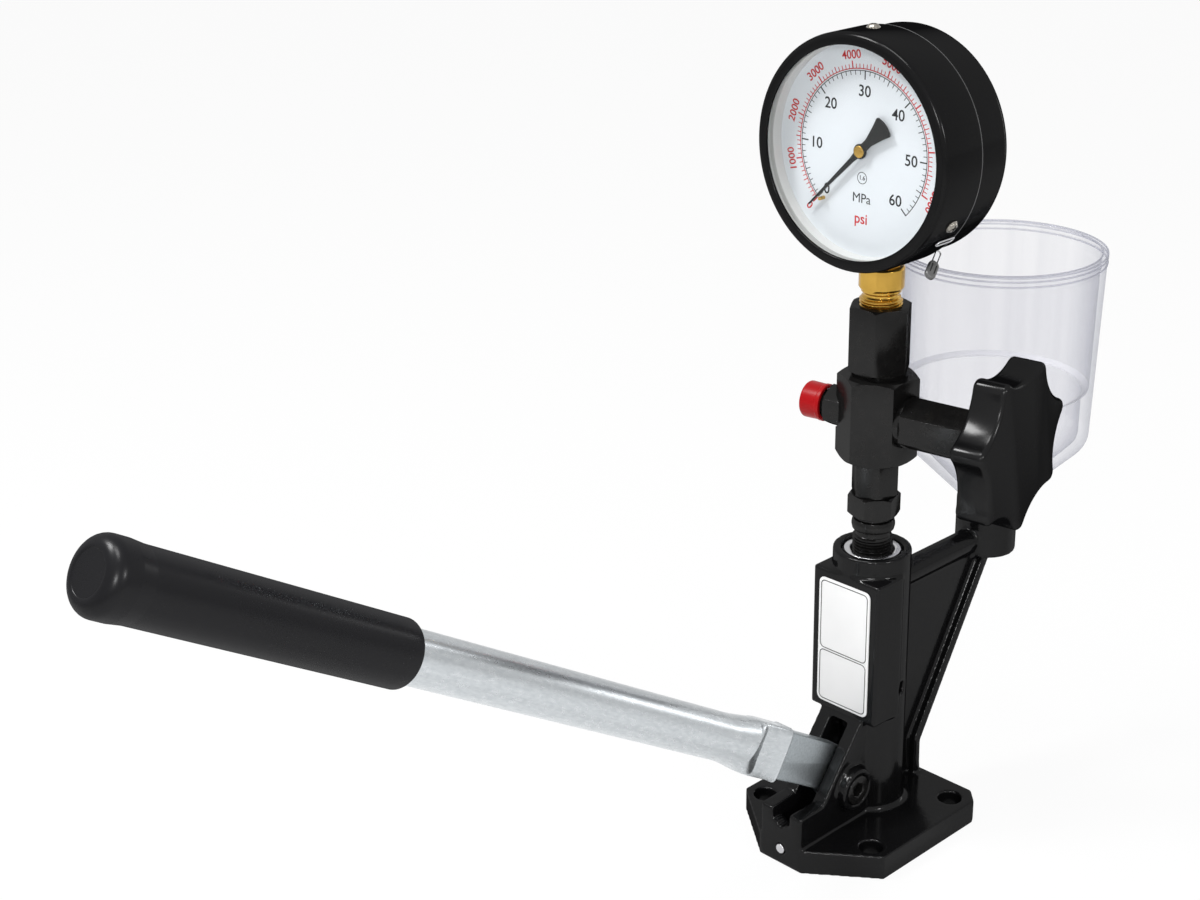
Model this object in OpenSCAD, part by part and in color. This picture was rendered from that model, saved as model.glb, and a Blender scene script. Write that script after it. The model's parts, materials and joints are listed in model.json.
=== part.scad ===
// Hand-pumped diesel injector tester. Millimetres, +Z up, lever towards -Y, valve knob towards +X.
// The origin is the centre of the base bolt pattern on the underside of the base.

/* [Base] */
// Width of the base plate
base_w = 85; // [82:1:110]
// Width of the base plate at its front end
base_front_w = 24; // [24:1:40]
// Distance of the front edge from the bolt pattern centre
base_front = 56; // [54:1:64]
// Distance of the front shoulders from the bolt pattern centre
base_shoulder = 32.5; // [30:0.5:40]
// Distance of the back edge from the bolt pattern centre
base_back = 42; // [42:1:50]
// Thickness of the base plate
base_t = 12; // [8:0.5:12]
// Size of the cut-off back corners
base_corner = 6.5; // [2:0.5:8]
// Bolt hole spacing across the base
bolt_dx = 65; // [60:1:68]
// Bolt hole spacing along the base
bolt_dy = 59; // [52:1:60]
// Diameter of the bolt holes
bolt_hole_d = 11; // [6:0.5:11]
// Diameter of the steel plug in the front edge
front_plug_d = 5; // [3:0.1:6]

/* [Tower] */
// Distance of the tower axis behind the bolt pattern centre
tower_y = 5; // [3:0.5:6]
// Outer diameter of the tower
tower_d = 36; // [35:0.5:38]
// Width of the label pad
pad_w = 38; // [36:0.5:44]
// Distance of the label pad face from the tower axis
pad_reach = 18.5; // [18.5:0.5:22]
// Height of the lower edge of the label pad
pad_z = 61.5; // [60:0.5:64]
// Height of the label pad
pad_h = 71.5; // [66:0.5:74]
// Width of the label plate
label_w = 29.6; // [20:0.2:33]
// Height of the label plate
label_h = 63.6; // [40:0.2:64]
// Thickness of the label plate
label_t = 0.8; // [0.4:0.1:1.5]
// Diameter of the vent hole in the side of the tower
vent_d = 6; // [3:0.5:8]
// Height of the vent hole
vent_z = 74; // [68:1:79]

/* [Clevis] */
// Width across the two ears
clevis_w = 24; // [22:0.5:24]
// Width of the slot between the ears
slot_w = 10; // [10:0.1:11]
// Height of the ears at the front
front_h = 28; // [26:0.5:29]
// Thickness of the front wall between the ears
front_t = 7; // [5:0.5:8]
// Height of the front wall between the ears
front_wall_h = 22; // [16:0.5:22]
// Width of the round notch in the front wall
notch_w = 4.4; // [3:0.2:7]
// Distance of the lever pivot in front of the tower axis
pivot_reach = 25.5; // [25:0.1:26]
// Height of the lever pivot
pivot_z = 31.15; // [31:0.05:32]
// Diameter of the pivot bosses
pivot_boss_d = 20.8; // [19:0.2:22]
// Width across the pivot bosses
pivot_boss_w = 34; // [32:1:38]
// Diameter of the pivot bolt
bolt_d = 10; // [8:0.5:10]
// Diameter of the pivot bolt head
bolt_head_d = 14; // [13:0.5:16]
// Depth of the pivot bolt head
bolt_head_h = 3.5; // [2.5:0.5:4]
// Hexagon across flats of the pivot nut
pivot_nut_af = 16; // [15:0.5:18]
// Thickness of the pivot nut
pivot_nut_h = 6; // [4:0.5:8]

/* [Rear arm] */
// Distance of the cup axis behind the tower axis
cup_reach = 88; // [86:1:96]
// Height of the round arm rail
arm_z = 120.4; // [119:0.2:121.6]
// Diameter of the round arm rail
arm_d = 12; // [10:0.5:14]
// Diameter of the cup boss
boss_d = 29.2; // [28:0.2:32]
// Height of the underside of the cup boss
boss_z = 112.5; // [111:0.5:113.5]
// Height of the cup boss
boss_h = 28.5; // [28:0.5:32]
// Thickness of the web panel
web_t = 6; // [4:0.5:9]
// Width of the web flange
flange_w = 15; // [11:0.5:18]
// Thickness of the web flange
flange_t = 5.3; // [4:0.1:7]
// Height of the knee where the flange turns upright
knee_z = 29; // [24:1:34]
// Diameter of the oil gallery in the arm
gallery_d = 4; // [2:0.5:5]
// Diameter of the gallery plug
gallery_plug_d = 8.8; // [6:0.2:9]

/* [Pump] */
// Diameter of the spring chamber and of the barrel seat
chamber_d = 28; // [27:0.2:29]
// Height of the top of the spring chamber
chamber_top = 84; // [82:0.5:86]
// Height of the barrel shoulder in the tower
shoulder_z = 112; // [111:0.5:113]
// Diameter of the barrel below its flange
barrel_d = 18; // [16:0.2:19]
// Height of the barrel flange
barrel_flange_h = 14.2; // [13:0.2:16]
// Diameter of the plunger
plunger_d = 8; // [6:0.5:8.5]
// Length of the plunger above its foot
plunger_l = 70; // [66:0.5:70]
// Diameter of the tappet foot
foot_d = 10; // [8:0.5:12]
// Height of the tappet foot
foot_h = 4.5; // [4:0.1:5]
// Height of the tappet body
tappet_h = 10; // [9:0.5:11]
// Wire diameter of the plunger spring
spring_wire = 2.6; // [2:0.1:2.8]
// Mean radius of the plunger spring
spring_r = 10; // [9:0.1:10.4]
// Turns of the plunger spring
spring_turns = 6; // [4:0.5:7]
// Thickness of the delivery valve seat
seat_h = 6; // [5:0.5:7]
// Thickness of the connector flange
connector_flange_h = 4; // [3:0.5:5]
// Height of the clamp ring
ring_h = 4.5; // [4:0.5:6]
// Diameter of the connector thread
connector_d = 18.6; // [18:0.2:19.4]
// Diameter of the connector collar
collar_d = 20; // [19.4:0.2:22]
// Height of the connector collar
collar_h = 5.5; // [5:0.5:8]

/* [Valve block] */
// Hexagon across flats of the lock nut
lock_af = 21; // [20:0.5:24]
// Height of the lock nut
lock_h = 10; // [8:0.5:12]
// Hexagon across flats of the block union
union_af = 19; // [18:0.5:22]
// Height of the hexagon of the block union
union_h = 18; // [15:0.5:22]
// Hexagon across flats of the valve block
block_af = 32; // [32:0.5:36]
// Height of the valve block
block_h = 39; // [39:0.5:44]
// Depth of the threaded ports in the valve block
port_depth = 11; // [10:0.5:11]
// Diameter of the drilled oil ways
way_d = 3; // [2:0.2:3.4]
// Hexagon across flats of the outlet nipple
outlet_af = 17; // [15:0.5:19]
// Turn of the cross axis about the tower, in degrees
cross_turn = 8; // [0:1:12]
// Length of the outlet nipple hexagon
outlet_hex_l = 9; // [8:0.5:14]
// Diameter of the outlet thread
outlet_d = 14; // [13:0.5:15]
// Length of the outlet thread
outlet_l = 8.5; // [8:0.5:12]
// Outer diameter of the outlet cap
cap_d = 17.2; // [16.6:0.1:20]
// Thickness of the end of the outlet cap
cap_t = 2; // [1:0.1:4]

/* [Relief valve] */
// Diameter of the round bonnet collar
bonnet_collar_d = 23; // [20:0.5:26]
// Thickness of the round bonnet collar
bonnet_collar_t = 2.5; // [1.5:0.5:4]
// Hexagon across flats of the valve bonnet
bonnet_af = 21.5; // [20:0.5:24]
// Length of the valve bonnet hexagon
bonnet_l = 32; // [30:0.5:40]
// Diameter of the valve spindle
spindle_d = 12; // [10:0.5:12]
// Diameter of the valve needle
needle_d = 6; // [5:0.2:6.4]
// Diameter of the star knob
knob_d = 76; // [66:1:80]
// Thickness of the star knob
knob_t = 16; // [14:0.5:22]
// Number of lobes of the star knob
knob_lobes = 7; // [6:1:8]
// Radius of the scallops between the lobes
scallop_r = 27; // [20:0.5:28]
// Depth of the scallops
scallop_depth = 7; // [4:0.5:8]
// Diameter of the knob hub
hub_d = 20; // [17:0.5:26]
// Length of the knob hub
hub_l = 5; // [3:0.5:7]

/* [Gauge mounting] */
// Hexagon across flats of the gauge adapter
adapter_af = 25; // [24:0.5:28]
// Height of the gauge adapter hexagon
adapter_h = 30.5; // [26:0.5:32]
// Height of the round ring below the hexagon
adapter_ring_h = 2; // [1.5:0.5:4]
// Diameter of the gauge socket thread
socket_d = 19; // [18:0.2:19.4]
// Depth of the socket thread in the adapter
socket_thread = 14; // [12:0.5:15]
// Height of the socket thread that shows
socket_collar_h = 4; // [2:0.5:6]
// Width across the socket flats
socket_af = 18; // [16:0.5:18.5]
// Height of the socket flats
socket_flat_h = 10.5; // [10:0.5:16]

/* [Gauge] */
// Outer diameter of the gauge bezel
gauge_d = 101; // [100:0.5:106]
// Depth of the gauge from bezel front to case back
gauge_depth = 46; // [44:1:50]
// Distance of the bezel front from the socket axis
gauge_front = 25.6; // [25:0.1:26]
// Length of the bezel skirt
skirt_l = 24; // [22:0.5:24]
// Wall of the bezel skirt
skirt_t = 1.4; // [1:0.1:1.6]
// Width of the bezel lip
lip_w = 5.3; // [5:0.1:8]
// Thickness of the bezel lip
lip_t = 3; // [2:0.1:3.2]
// Thickness of the gauge glass
glass_t = 3; // [2:0.1:3.2]
// Wall of the gauge case
case_wall = 2.5; // [2:0.1:3]
// Depth of the dial front behind the bezel front
dial_w = 10; // [9.4:0.1:10.4]
// Thickness of the dial plate
dial_t = 1; // [0.6:0.1:1]
// Length of the pointer from its axis to its tip
pointer_l = 38.5; // [30:0.5:40]
// Length of the pointer tail
pointer_tail = 20; // [14:0.5:24]
// Radius at which the stop pin stands
stop_r = 31.3; // [24:0.1:34]
// Pitch radius of the pointer pinion
pinion_r = 2.5; // [2.4:0.05:2.6]
// Teeth of the pointer pinion
pinion_teeth = 10; // [8:1:10]
// Turns of the pointer for one turn of the sector gear
gear_ratio = 9; // [8.8:0.1:9.2]
// Mean radius of the bourdon tube
bourdon_r = 33; // [32:0.5:34]
// Diameter of the heads of the bezel screws
screw_head_d = 6.2; // [4:0.2:7]

/* [Oil cup] */
// Outer diameter of the cup at its rim
cup_d = 96.8; // [92:0.2:105]
// Outer diameter of the cup above its cone
cup_low_d = 90.8; // [84:0.2:91]
// Height of the cup from its seat to its rim
cup_h = 122.8; // [110:0.2:140]
// Wall of the cup
cup_wall = 2.2; // [1.6:0.1:3]
// Height of the ledge inside the cup above its seat
cup_ledge_h = 58; // [40:1:80]
// Diameter of the cup spigot
spigot_d = 16; // [14:0.5:17]
// Length of the cup spigot
spigot_l = 14; // [10:0.5:14]
// Diameter of the cup outlet
cup_hole_d = 8; // [5:0.5:8]

/* [Lever] */
// Angle of the raised lever above level
lever_rest = 31.79; // [31:0.01:32.5]
// Height of the lever tube axis above the pivot when level
lever_rise = 5.3; // [4.8:0.1:5.8]
// Thickness of the lever tongue
tongue_t = 9; // [7:0.1:9.2]
// Height of the lever tongue
tongue_h = 22.5; // [20:0.1:22.5]
// Distance of the crimped tube end from the pivot
tube_start = 50; // [48:1:60]
// Length of the crimp
crimp_l = 32; // [28:1:40]
// Outer diameter of the lever tube
tube_d = 21.5; // [20:0.1:23]
// Wall of the lever tube
tube_wall = 1.8; // [1:0.1:2]
// Distance of the grip from the pivot
grip_start = 293; // [260:1:320]
// Length of the grip
grip_l = 139; // [110:1:150]
// Diameter of the grip at its inner end
grip_d = 26.8; // [25:0.2:30]
// Diameter of the grip at its outer end
grip_end_d = 28.2; // [25:0.2:32]
// Reach of the lever nose from the pivot
nose_reach = 25.5; // [25:0.1:26]
// Radius of the lever nose
nose_r = 6; // [5.5:0.1:6]

/* [Hidden] */
$fn = 96;

// Radial gaps of a running fit and of a screwed or pushed-in fit, and the gap between passing parts
run_gap = 0.05;
fit_gap = 0.1;
pass_gap = 0.3;
// Extra depth of cuts that break through a face
over = 1;
hex_sides = 6;
wire_sides = 6;
wire_rings = 8;

// Base, clevis and arm
pivot_y = tower_y - pivot_reach;
cup_y = tower_y + cup_reach;
front_plug_z = 8;
front_plug_l = 5.4;
ear_knee_y = -base_front + 16.4;
ear_top_y = tower_y - pad_reach - 1;
flange_y = base_back - 2.5;
boss_top = boss_z + boss_h;
vent_turn = 10;
gallery_plug_l = 5.6;

// Lever, with the nose in the lever frame
tongue_rise = lever_rise - 0.55;
tongue_end = tube_start + 15;
tang_end = tongue_end + 45;
tang_h = 12;
eye_r = 9.5;
bush_wall = 1.94;
bush_d = bolt_d + 2*run_gap + 2*bush_wall;
tube_end = grip_start + grip_l - 9;
nose_z = pivot_z - nose_reach*sin(lever_rest) + lever_rise*cos(lever_rest);

// Pump stack, from the tappet up
tappet_z = nose_z + nose_r + pass_gap;
tappet_body_z = tappet_z + foot_h;
tappet_top = tappet_body_z + tappet_h;
recess_h = 3;
plunger_foot_d = 12;
plunger_foot_h = 2.8;
washer_d = chamber_d - 2.4;
washer_t = 2;
spring_z = tappet_top + washer_t;
spring_top = chamber_top - washer_t;
gasket_t = 0.8;
barrel_flange_d = chamber_d - 0.8;
barrel_z = shoulder_z + gasket_t;
barrel_top = barrel_z + barrel_flange_h;
seat_top = barrel_top + seat_h;
flange_top = seat_top + connector_flange_h;
ring_top = flange_top + ring_h;
tower_top = ring_top + 1;
valve_stem_d = way_d + 1;
valve_head_d = 6.8;
valve_head_h = 2.4;
valve_seat_d = 23;
valve_gap = 0.05;
valve_chamber_d = 8;
valve_chamber_h = 13;
valve_spring_wire = 0.8;
valve_spring_r = 2.6;
valve_spring_turns = 6;
valve_spring_z = seat_top + valve_gap + valve_head_h + fit_gap;
valve_spring_l = seat_top + valve_chamber_h - valve_spring_z;
thread_top = ring_top + 7.5;
collar_z = thread_top + 2.5;
lock_z = collar_z + collar_h + 2;
union_z = lock_z + lock_h;
block_z = union_z + union_h;
union_d = 14;
union_low = 6;

// Valve block and relief valve, along the cross axis
valve_z = block_z + block_h/2;
block_face = block_af/2;
spot_depth = 1.4;
seat_x = block_face - spot_depth;
outlet_spot_d = outlet_af/cos(30) + 2*pass_gap;
union_port_d = 16;
adapter_port_d = 17;
outlet_port_d = 12;
bonnet_port_d = 14;
side_depth = 9;
bonnet_x = seat_x + bonnet_collar_t;
bonnet_end = bonnet_x + bonnet_l;
needle_end = 24;
seal_l = 4;
hub_x = bonnet_end + 2;
knob_x = hub_x + hub_l;
knob_face = knob_x + knob_t;
spindle_end = knob_face - 3;
spindle_end_d = 10;
knob_phase = 66.5;

// Gauge, where depths run back from the bezel front
adapter_z = block_z + block_h;
adapter_hex_z = adapter_z + adapter_ring_h;
adapter_top = adapter_hex_z + adapter_h;
washer_h = 2;
waist_h = 3;
waist_d = 16;
flats_z = adapter_top + socket_collar_h + waist_h;
flats_top = flats_z + socket_flat_h;
gauge_r = gauge_d/2;
gauge_z = flats_top + 2.4 + gauge_r;
skirt_r = gauge_r - skirt_t;
case_r = skirt_r - fit_gap;
case_w = lip_t + glass_t;
glass_r = skirt_r - pass_gap;
dial_r = case_r - case_wall - 0.2;
ledge_r = dial_r - 1.8;
ledge_w = dial_w + dial_t;
screw_at = [90, -30, 210];
screw_w = 14.4;
screw_d = 3;
screw_head_h = 1.8;
pointer_w = dial_w - 2.5;
pointer_t = 1;
pointer_zero = 225;
stop_zero = 229;
stop_d = 1.6;
arbor_d = 2.4;
sector_r = pinion_r*gear_ratio;
sector_y = -pinion_r - sector_r;
tooth_in = 0.6;
tooth_out = 0.35;
sector_tail = 5.2;
front_plate_w = 15.2;
back_plate_w = 21.5;
plate_t = 1.2;
gear_w = 17.3;
gear_t = 2.4;
socket_block_w = 16;
socket_block_t = 14;
socket_block_z = gauge_z - sqrt(pow(case_r - case_wall, 2) - pow(socket_block_w/2, 2)) + pass_gap;
socket_block_top = gauge_z + sector_y - 8;
bourdon_t = 5;
bourdon_h = 10;
bourdon_w = 25;
bourdon_from = -76;
bourdon_to = 170;
seal_at = -46;
seal_w = 17.5;
wire_d = 0.9;
wire_r = 5;
wire_out = 2.2;
seal_half = sqrt(wire_r*wire_r - wire_out*wire_out);

// Cup levels above its seat
seal_t = 1.2;
cup_z = boss_top + seal_t;
cup_foot_r = boss_d/2 - 0.2;
cup_cone = 45;
cup_round = 9;
cup_round_z = (cup_low_d/2 - cup_round*(1 - sin(cup_cone)) - cup_foot_r)*tan(cup_cone)
    + cup_round*cos(cup_cone);
cup_band = 7;
cup_ledge = 0.8;

// Frames and shapes that repeat

module along_x() {
    rotate([0, 90, 0]) children();
}

module along_y() {
    rotate([-90, 0, 0]) children();
}

// A side outline drawn as (y, z), centred on the middle plane
module side_profile(width) {
    translate([-width/2, 0, 0]) rotate([90, 0, 90]) linear_extrude(width) children();
}

module on_tower(z = 0) {
    translate([0, tower_y, z]) children();
}

module on_cup(z = 0) {
    translate([0, cup_y, z]) children();
}

// Local z runs along +X from the block axis
module valve_frame(x = 0) {
    translate([0, tower_y, valve_z]) rotate([0, 0, cross_turn]) translate([x, 0, 0]) along_x() children();
}

// Local z runs along -X from the block axis
module outlet_frame(x = 0) {
    translate([0, tower_y, valve_z]) rotate([0, 0, cross_turn]) translate([-x, 0, 0])
        rotate([0, -90, 0]) children();
}

// Local x is right, y is up and z points out of the dial, at a depth behind the bezel front
module gauge_frame(w = 0) {
    translate([0, tower_y - gauge_front + w, gauge_z]) rotate([90, 0, 0]) children();
}

// The lever lies along -Y here when level
module lever_frame() {
    translate([0, pivot_y, pivot_z]) rotate([-lever_rest, 0, 0]) children();
}

module tube(outer_d, inner_d, h) {
    difference() {
        cylinder(d = outer_d, h = h);
        translate([0, 0, -over]) cylinder(d = inner_d, h = h + 2*over);
    }
}

// A hexagonal bar whose corners are turned off at one or both ends
module hex_bar(af, h, low = true, high = true) {
    corner_r = af/sqrt(3) + 0.02;
    cut_r = af/2 + 0.1;
    turn_h = (corner_r - cut_r)*tan(30);
    low_h = low ? turn_h : 0;
    high_h = high ? turn_h : 0;
    intersection() {
        cylinder(r = af/sqrt(3), h = h, $fn = hex_sides);
        rotate_extrude() polygon([
            [0, 0], [low ? cut_r : corner_r, 0], [corner_r, low_h], [corner_r, h - high_h],
            [high ? cut_r : corner_r, h], [0, h]
        ]);
    }
}

// Helical wire as one closed tube
function helix_point(r, pitch, t) = [r*cos(360*t), r*sin(360*t), pitch*t];

function helix_ring(r, pitch, wire, t) = [
    for (s = [0:wire_sides - 1])
        let (a = 360*s/wire_sides, rr = r + wire/2*cos(a))
        [rr*cos(360*t), rr*sin(360*t), pitch*t + wire/2*sin(a)]
];

module helix(r, wire, turns, height) {
    pitch = (height - wire)/turns;
    steps = round(turns*wire_rings);
    points = [for (i = [0:steps]) each helix_ring(r, pitch, wire, i*turns/steps)];
    sides = [
        for (i = [0:steps - 1], s = [0:wire_sides - 1])
            let (a = i*wire_sides + s, b = i*wire_sides + (s + 1) % wire_sides)
            each [[a, b, b + wire_sides], [a, b + wire_sides, a + wire_sides]]
    ];
    first = [for (s = [1:wire_sides - 2]) [0, s + 1, s]];
    end = steps*wire_sides;
    last = [for (s = [1:wire_sides - 2]) [end, end + s, end + s + 1]];
    translate([0, 0, wire/2]) polyhedron(points, concat(sides, first, last));
}

// Least distance between wire surfaces of a helix, measured on points about a turn apart
function helix_gap(r, wire, turns, height) =
    let (pitch = (height - wire)/turns, n = 48)
    min([for (i = [-n/4:n/4]) norm(helix_point(r, pitch, 1 + i/n) - helix_point(r, pitch, 0))]) - wire;

// One thin straight-sided tooth pointing along an angle
module tooth(r, at) {
    rotate(at) polygon([[r - 1.2, -0.32], [r + tooth_out, -0.15], [r + tooth_out, 0.15], [r - 1.2, 0.32]]);
}

// Base, tower, clevis and rear arm: one casting

module base_outline() {
    front = base_front_w/2;
    side = base_w/2;
    polygon([
        [-front, -base_front], [front, -base_front], [side, -base_shoulder], [side, base_back - base_corner],
        [side - base_corner, base_back], [base_corner - side, base_back], [-side, base_back - base_corner],
        [-side, -base_shoulder]
    ]);
}

module ear_outline() {
    polygon([
        [-base_front, 0], [-base_front, front_h], [ear_knee_y, front_h + 0.8], [ear_top_y, pad_z],
        [tower_y, pad_z + 2], [tower_y, 0]
    ]);
}

module web_outline() {
    polygon([
        [tower_y, base_t - over], [flange_y - 1.5, base_t - over], [flange_y - 2.5, knee_z],
        [cup_y - 3.5, boss_z + 5], [cup_y, boss_z + 7], [cup_y, arm_z], [tower_y, arm_z]
    ]);
}

module flange_outline() {
    polygon([
        [flange_y - flange_t, base_t/2], [flange_y, base_t/2], [flange_y - 0.9, knee_z],
        [cup_y - 2.4, boss_z + 4.8], [cup_y + 4.5, boss_z + 8], [cup_y - 5.5, boss_z + 9.5],
        [cup_y - 1.5 - flange_t, boss_z + 7.2], [flange_y - flange_t, knee_z + 2.4]
    ]);
}

module bolt_holes() {
    for (x = [-1, 1], y = [-1, 1])
        translate([x*bolt_dx/2, y*bolt_dy/2, -over]) cylinder(d = bolt_hole_d, h = base_t + 2*over);
}

// Lever slot behind and above the front wall, with a round notch in that wall
module lever_slot() {
    wall_y = -base_front + front_t;
    translate([-slot_w/2, wall_y, base_t]) cube([slot_w, tower_y - wall_y, pad_z - 1.5 - base_t]);
    translate([-slot_w/2, -base_front - over, front_wall_h])
        cube([slot_w, front_t + 2*over, pad_z - 1.5 - front_wall_h]);
    translate([0, -base_front - over, front_wall_h]) along_y() cylinder(d = notch_w, h = front_t + 2*over);
}

module tower_bores() {
    on_tower(-over) cylinder(d = chamber_d, h = chamber_top + over);
    on_tower() cylinder(d = barrel_d + 2*fit_gap, h = shoulder_z + over);
    on_tower(shoulder_z) cylinder(d = chamber_d, h = tower_top);
    on_tower(vent_z) rotate([0, 0, vent_turn]) along_x() cylinder(d = vent_d, h = tower_d);
}

module arm_bores() {
    on_tower(arm_z) along_y() cylinder(d = gallery_d, h = cup_reach + boss_d);
    translate([0, cup_y + boss_d/2 - gallery_plug_l - fit_gap, arm_z]) along_y()
        cylinder(d = gallery_plug_d + 2*fit_gap, h = boss_d);
    on_cup(boss_top - spigot_l - over) cylinder(d = spigot_d + 2*fit_gap, h = spigot_l + 2*over);
    on_cup(arm_z - gallery_d) cylinder(d = cup_hole_d, h = boss_h);
}

module pivot_bores() {
    translate([-pivot_boss_w, pivot_y, pivot_z]) along_x()
        cylinder(d = bolt_d + 2*fit_gap, h = 2*pivot_boss_w);
    translate([pivot_boss_w/2 - bolt_head_h, pivot_y, pivot_z]) along_x()
        cylinder(d = bolt_head_d + 8*fit_gap, h = bolt_head_h + over);
}

module pump_body() {
    color([0.09, 0.09, 0.1]) difference() {
        union() {
            linear_extrude(base_t) base_outline();
            on_tower() cylinder(d = tower_d, h = tower_top);
            translate([-pad_w/2, tower_y - pad_reach, pad_z]) cube([pad_w, pad_reach, pad_h]);
            side_profile(clevis_w) ear_outline();
            translate([-pivot_boss_w/2, pivot_y, pivot_z]) along_x()
                cylinder(d = pivot_boss_d, h = pivot_boss_w);
            on_tower(arm_z) along_y() cylinder(d = arm_d, h = cup_reach);
            on_cup(boss_z) cylinder(d = boss_d, h = boss_h);
            side_profile(web_t) web_outline();
            side_profile(flange_w) flange_outline();
        }
        tower_bores();
        lever_slot();
        pivot_bores();
        arm_bores();
        bolt_holes();
        translate([0, -base_front - over, front_plug_z]) along_y()
            cylinder(d = front_plug_d + 2*fit_gap, h = front_plug_l + over);
    }
}

module label_plate() {
    color("white") translate([-label_w/2, tower_y - pad_reach - label_t, pad_z + (pad_h - label_h)/2])
        cube([label_w, label_t, label_h]);
}

module front_plug() {
    color("silver") translate([0, -base_front - 0.4, front_plug_z]) along_y()
        cylinder(d = front_plug_d, h = front_plug_l + 0.4);
}

module gallery_plug() {
    color([0.2, 0.2, 0.21]) translate([0, cup_y + boss_d/2 - gallery_plug_l - fit_gap, arm_z]) along_y()
        cylinder(d = gallery_plug_d, h = gallery_plug_l);
}

// Lever and its pivot

module pivot_bolt() {
    head_x = pivot_boss_w/2 - bolt_head_h;
    end_x = -pivot_boss_w/2 - pivot_nut_h - 1;
    color([0.16, 0.16, 0.17]) translate([0, pivot_y, pivot_z]) along_x() difference() {
        union() {
            translate([0, 0, end_x]) cylinder(d = bolt_d, h = head_x - end_x);
            translate([0, 0, head_x]) cylinder(d = bolt_head_d, h = bolt_head_h);
        }
        translate([0, 0, head_x - 2]) cylinder(d = 7, h = bolt_head_h + 3, $fn = hex_sides);
    }
}

module pivot_nut() {
    color([0.16, 0.16, 0.17])
    translate([-pivot_boss_w/2, pivot_y, pivot_z]) rotate([0, -90, 0]) difference() {
        hex_bar(pivot_nut_af, pivot_nut_h);
        translate([0, 0, -over]) cylinder(d = bolt_d + 2*fit_gap, h = pivot_nut_h + 2*over);
    }
}

module tongue_outline() {
    top = tongue_rise + tongue_h/2;
    bottom = tongue_rise - tongue_h/2;
    nose = [nose_reach, lever_rise];
    across = 4*[-nose[1], nose[0]]/norm(nose);
    polygon([[-tongue_end, bottom], [-2, bottom], [-2, top - 5], [-8, top], [-tongue_end, top]]);
    translate([-tang_end, lever_rise - tang_h/2]) square([tang_end - tongue_end + over, tang_h]);
    circle(eye_r);
    polygon([-across, nose - across, nose + across, across]);
    translate(nose) circle(nose_r);
}

module lever_tongue() {
    color([0.66, 0.69, 0.72]) lever_frame() difference() {
        side_profile(tongue_t) tongue_outline();
        translate([-tongue_t, 0, 0]) along_x() cylinder(d = bush_d + 2*run_gap, h = 2*tongue_t);
    }
}

module pivot_bush() {
    bush_l = slot_w - 2*fit_gap;
    color([0.75, 0.6, 0.25]) lever_frame() translate([-bush_l/2, 0, 0]) along_x()
        tube(bush_d, bolt_d + 2*run_gap, bush_l);
}

module lever_tube() {
    flat_w = tongue_t + 4;
    flat_h = tongue_h + 2.8;
    flat_l = 10;
    round_from = tube_start + crimp_l;
    bore_from = round_from - 2;
    tang_w = tongue_t + 2*fit_gap;
    color([0.74, 0.77, 0.8]) lever_frame() difference() {
        union() {
            translate([0, -tube_end, lever_rise]) along_y() cylinder(d = tube_d, h = tube_end - round_from);
            hull() {
                translate([-flat_w/2, -tube_start - flat_l, tongue_rise - flat_h/2])
                    cube([flat_w, flat_l, flat_h]);
                translate([0, -round_from - over, lever_rise]) along_y()
                    cylinder(d = tube_d, h = over, $fn = 32);
            }
        }
        translate([-tang_w/2, -tongue_end - fit_gap, tongue_rise - tongue_h/2 - fit_gap])
            cube([tang_w, tongue_end, tongue_h + 2*fit_gap]);
        translate([-tang_w/2, -bore_from - over, lever_rise - tang_h/2 - fit_gap])
            cube([tang_w, bore_from, tang_h + 2*fit_gap]);
        translate([0, -tube_end - over, lever_rise]) along_y()
            cylinder(d = tube_d - 2*tube_wall, h = tube_end + over - bore_from);
    }
}

module lever_grip() {
    inner_r = grip_d/2;
    outer_r = grip_end_d/2;
    round_r = 5.5;
    edge_r = 2;
    color([0.1, 0.1, 0.1])
    lever_frame() translate([0, -grip_start, lever_rise]) rotate([90, 0, 0]) difference() {
        rotate_extrude() union() {
            polygon([
                [0, 0], [inner_r - edge_r, 0], [inner_r, edge_r], [outer_r, grip_l - round_r],
                [outer_r - round_r, grip_l], [0, grip_l]
            ]);
            translate([inner_r - edge_r, edge_r]) circle(edge_r);
            translate([outer_r - round_r, grip_l - round_r]) circle(round_r);
        }
        translate([0, 0, -over]) cylinder(d = tube_d + 2*fit_gap, h = tube_end - grip_start + fit_gap + over);
    }
}

// Pump element inside the tower

module tappet() {
    color([0.6, 0.6, 0.62]) on_tower() difference() {
        union() {
            translate([0, 0, tappet_z]) cylinder(d = foot_d, h = foot_h);
            translate([0, 0, tappet_body_z]) cylinder(d = chamber_d - 2*run_gap, h = tappet_h);
        }
        translate([0, 0, tappet_top - recess_h])
            cylinder(d = plunger_foot_d + 2*pass_gap, h = recess_h + over);
    }
}

module spring_seat() {
    color([0.55, 0.55, 0.57]) on_tower(tappet_top) tube(washer_d, plunger_d + 2*pass_gap, washer_t);
}

module plunger_spring() {
    color([0.5, 0.52, 0.55]) on_tower(spring_z)
        helix(spring_r, spring_wire, spring_turns, spring_top - spring_z);
}

module upper_spring_seat() {
    color([0.55, 0.55, 0.57]) on_tower(spring_top) tube(washer_d, plunger_d + 4*pass_gap, washer_t);
}

module plunger() {
    color([0.78, 0.79, 0.8]) on_tower(tappet_top - recess_h) {
        cylinder(d = plunger_foot_d, h = plunger_foot_h);
        cylinder(d = plunger_d, h = plunger_l);
    }
}

module barrel_gasket() {
    color([0.72, 0.42, 0.25]) on_tower(shoulder_z) tube(barrel_flange_d, barrel_d + 4*fit_gap, gasket_t);
}

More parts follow.
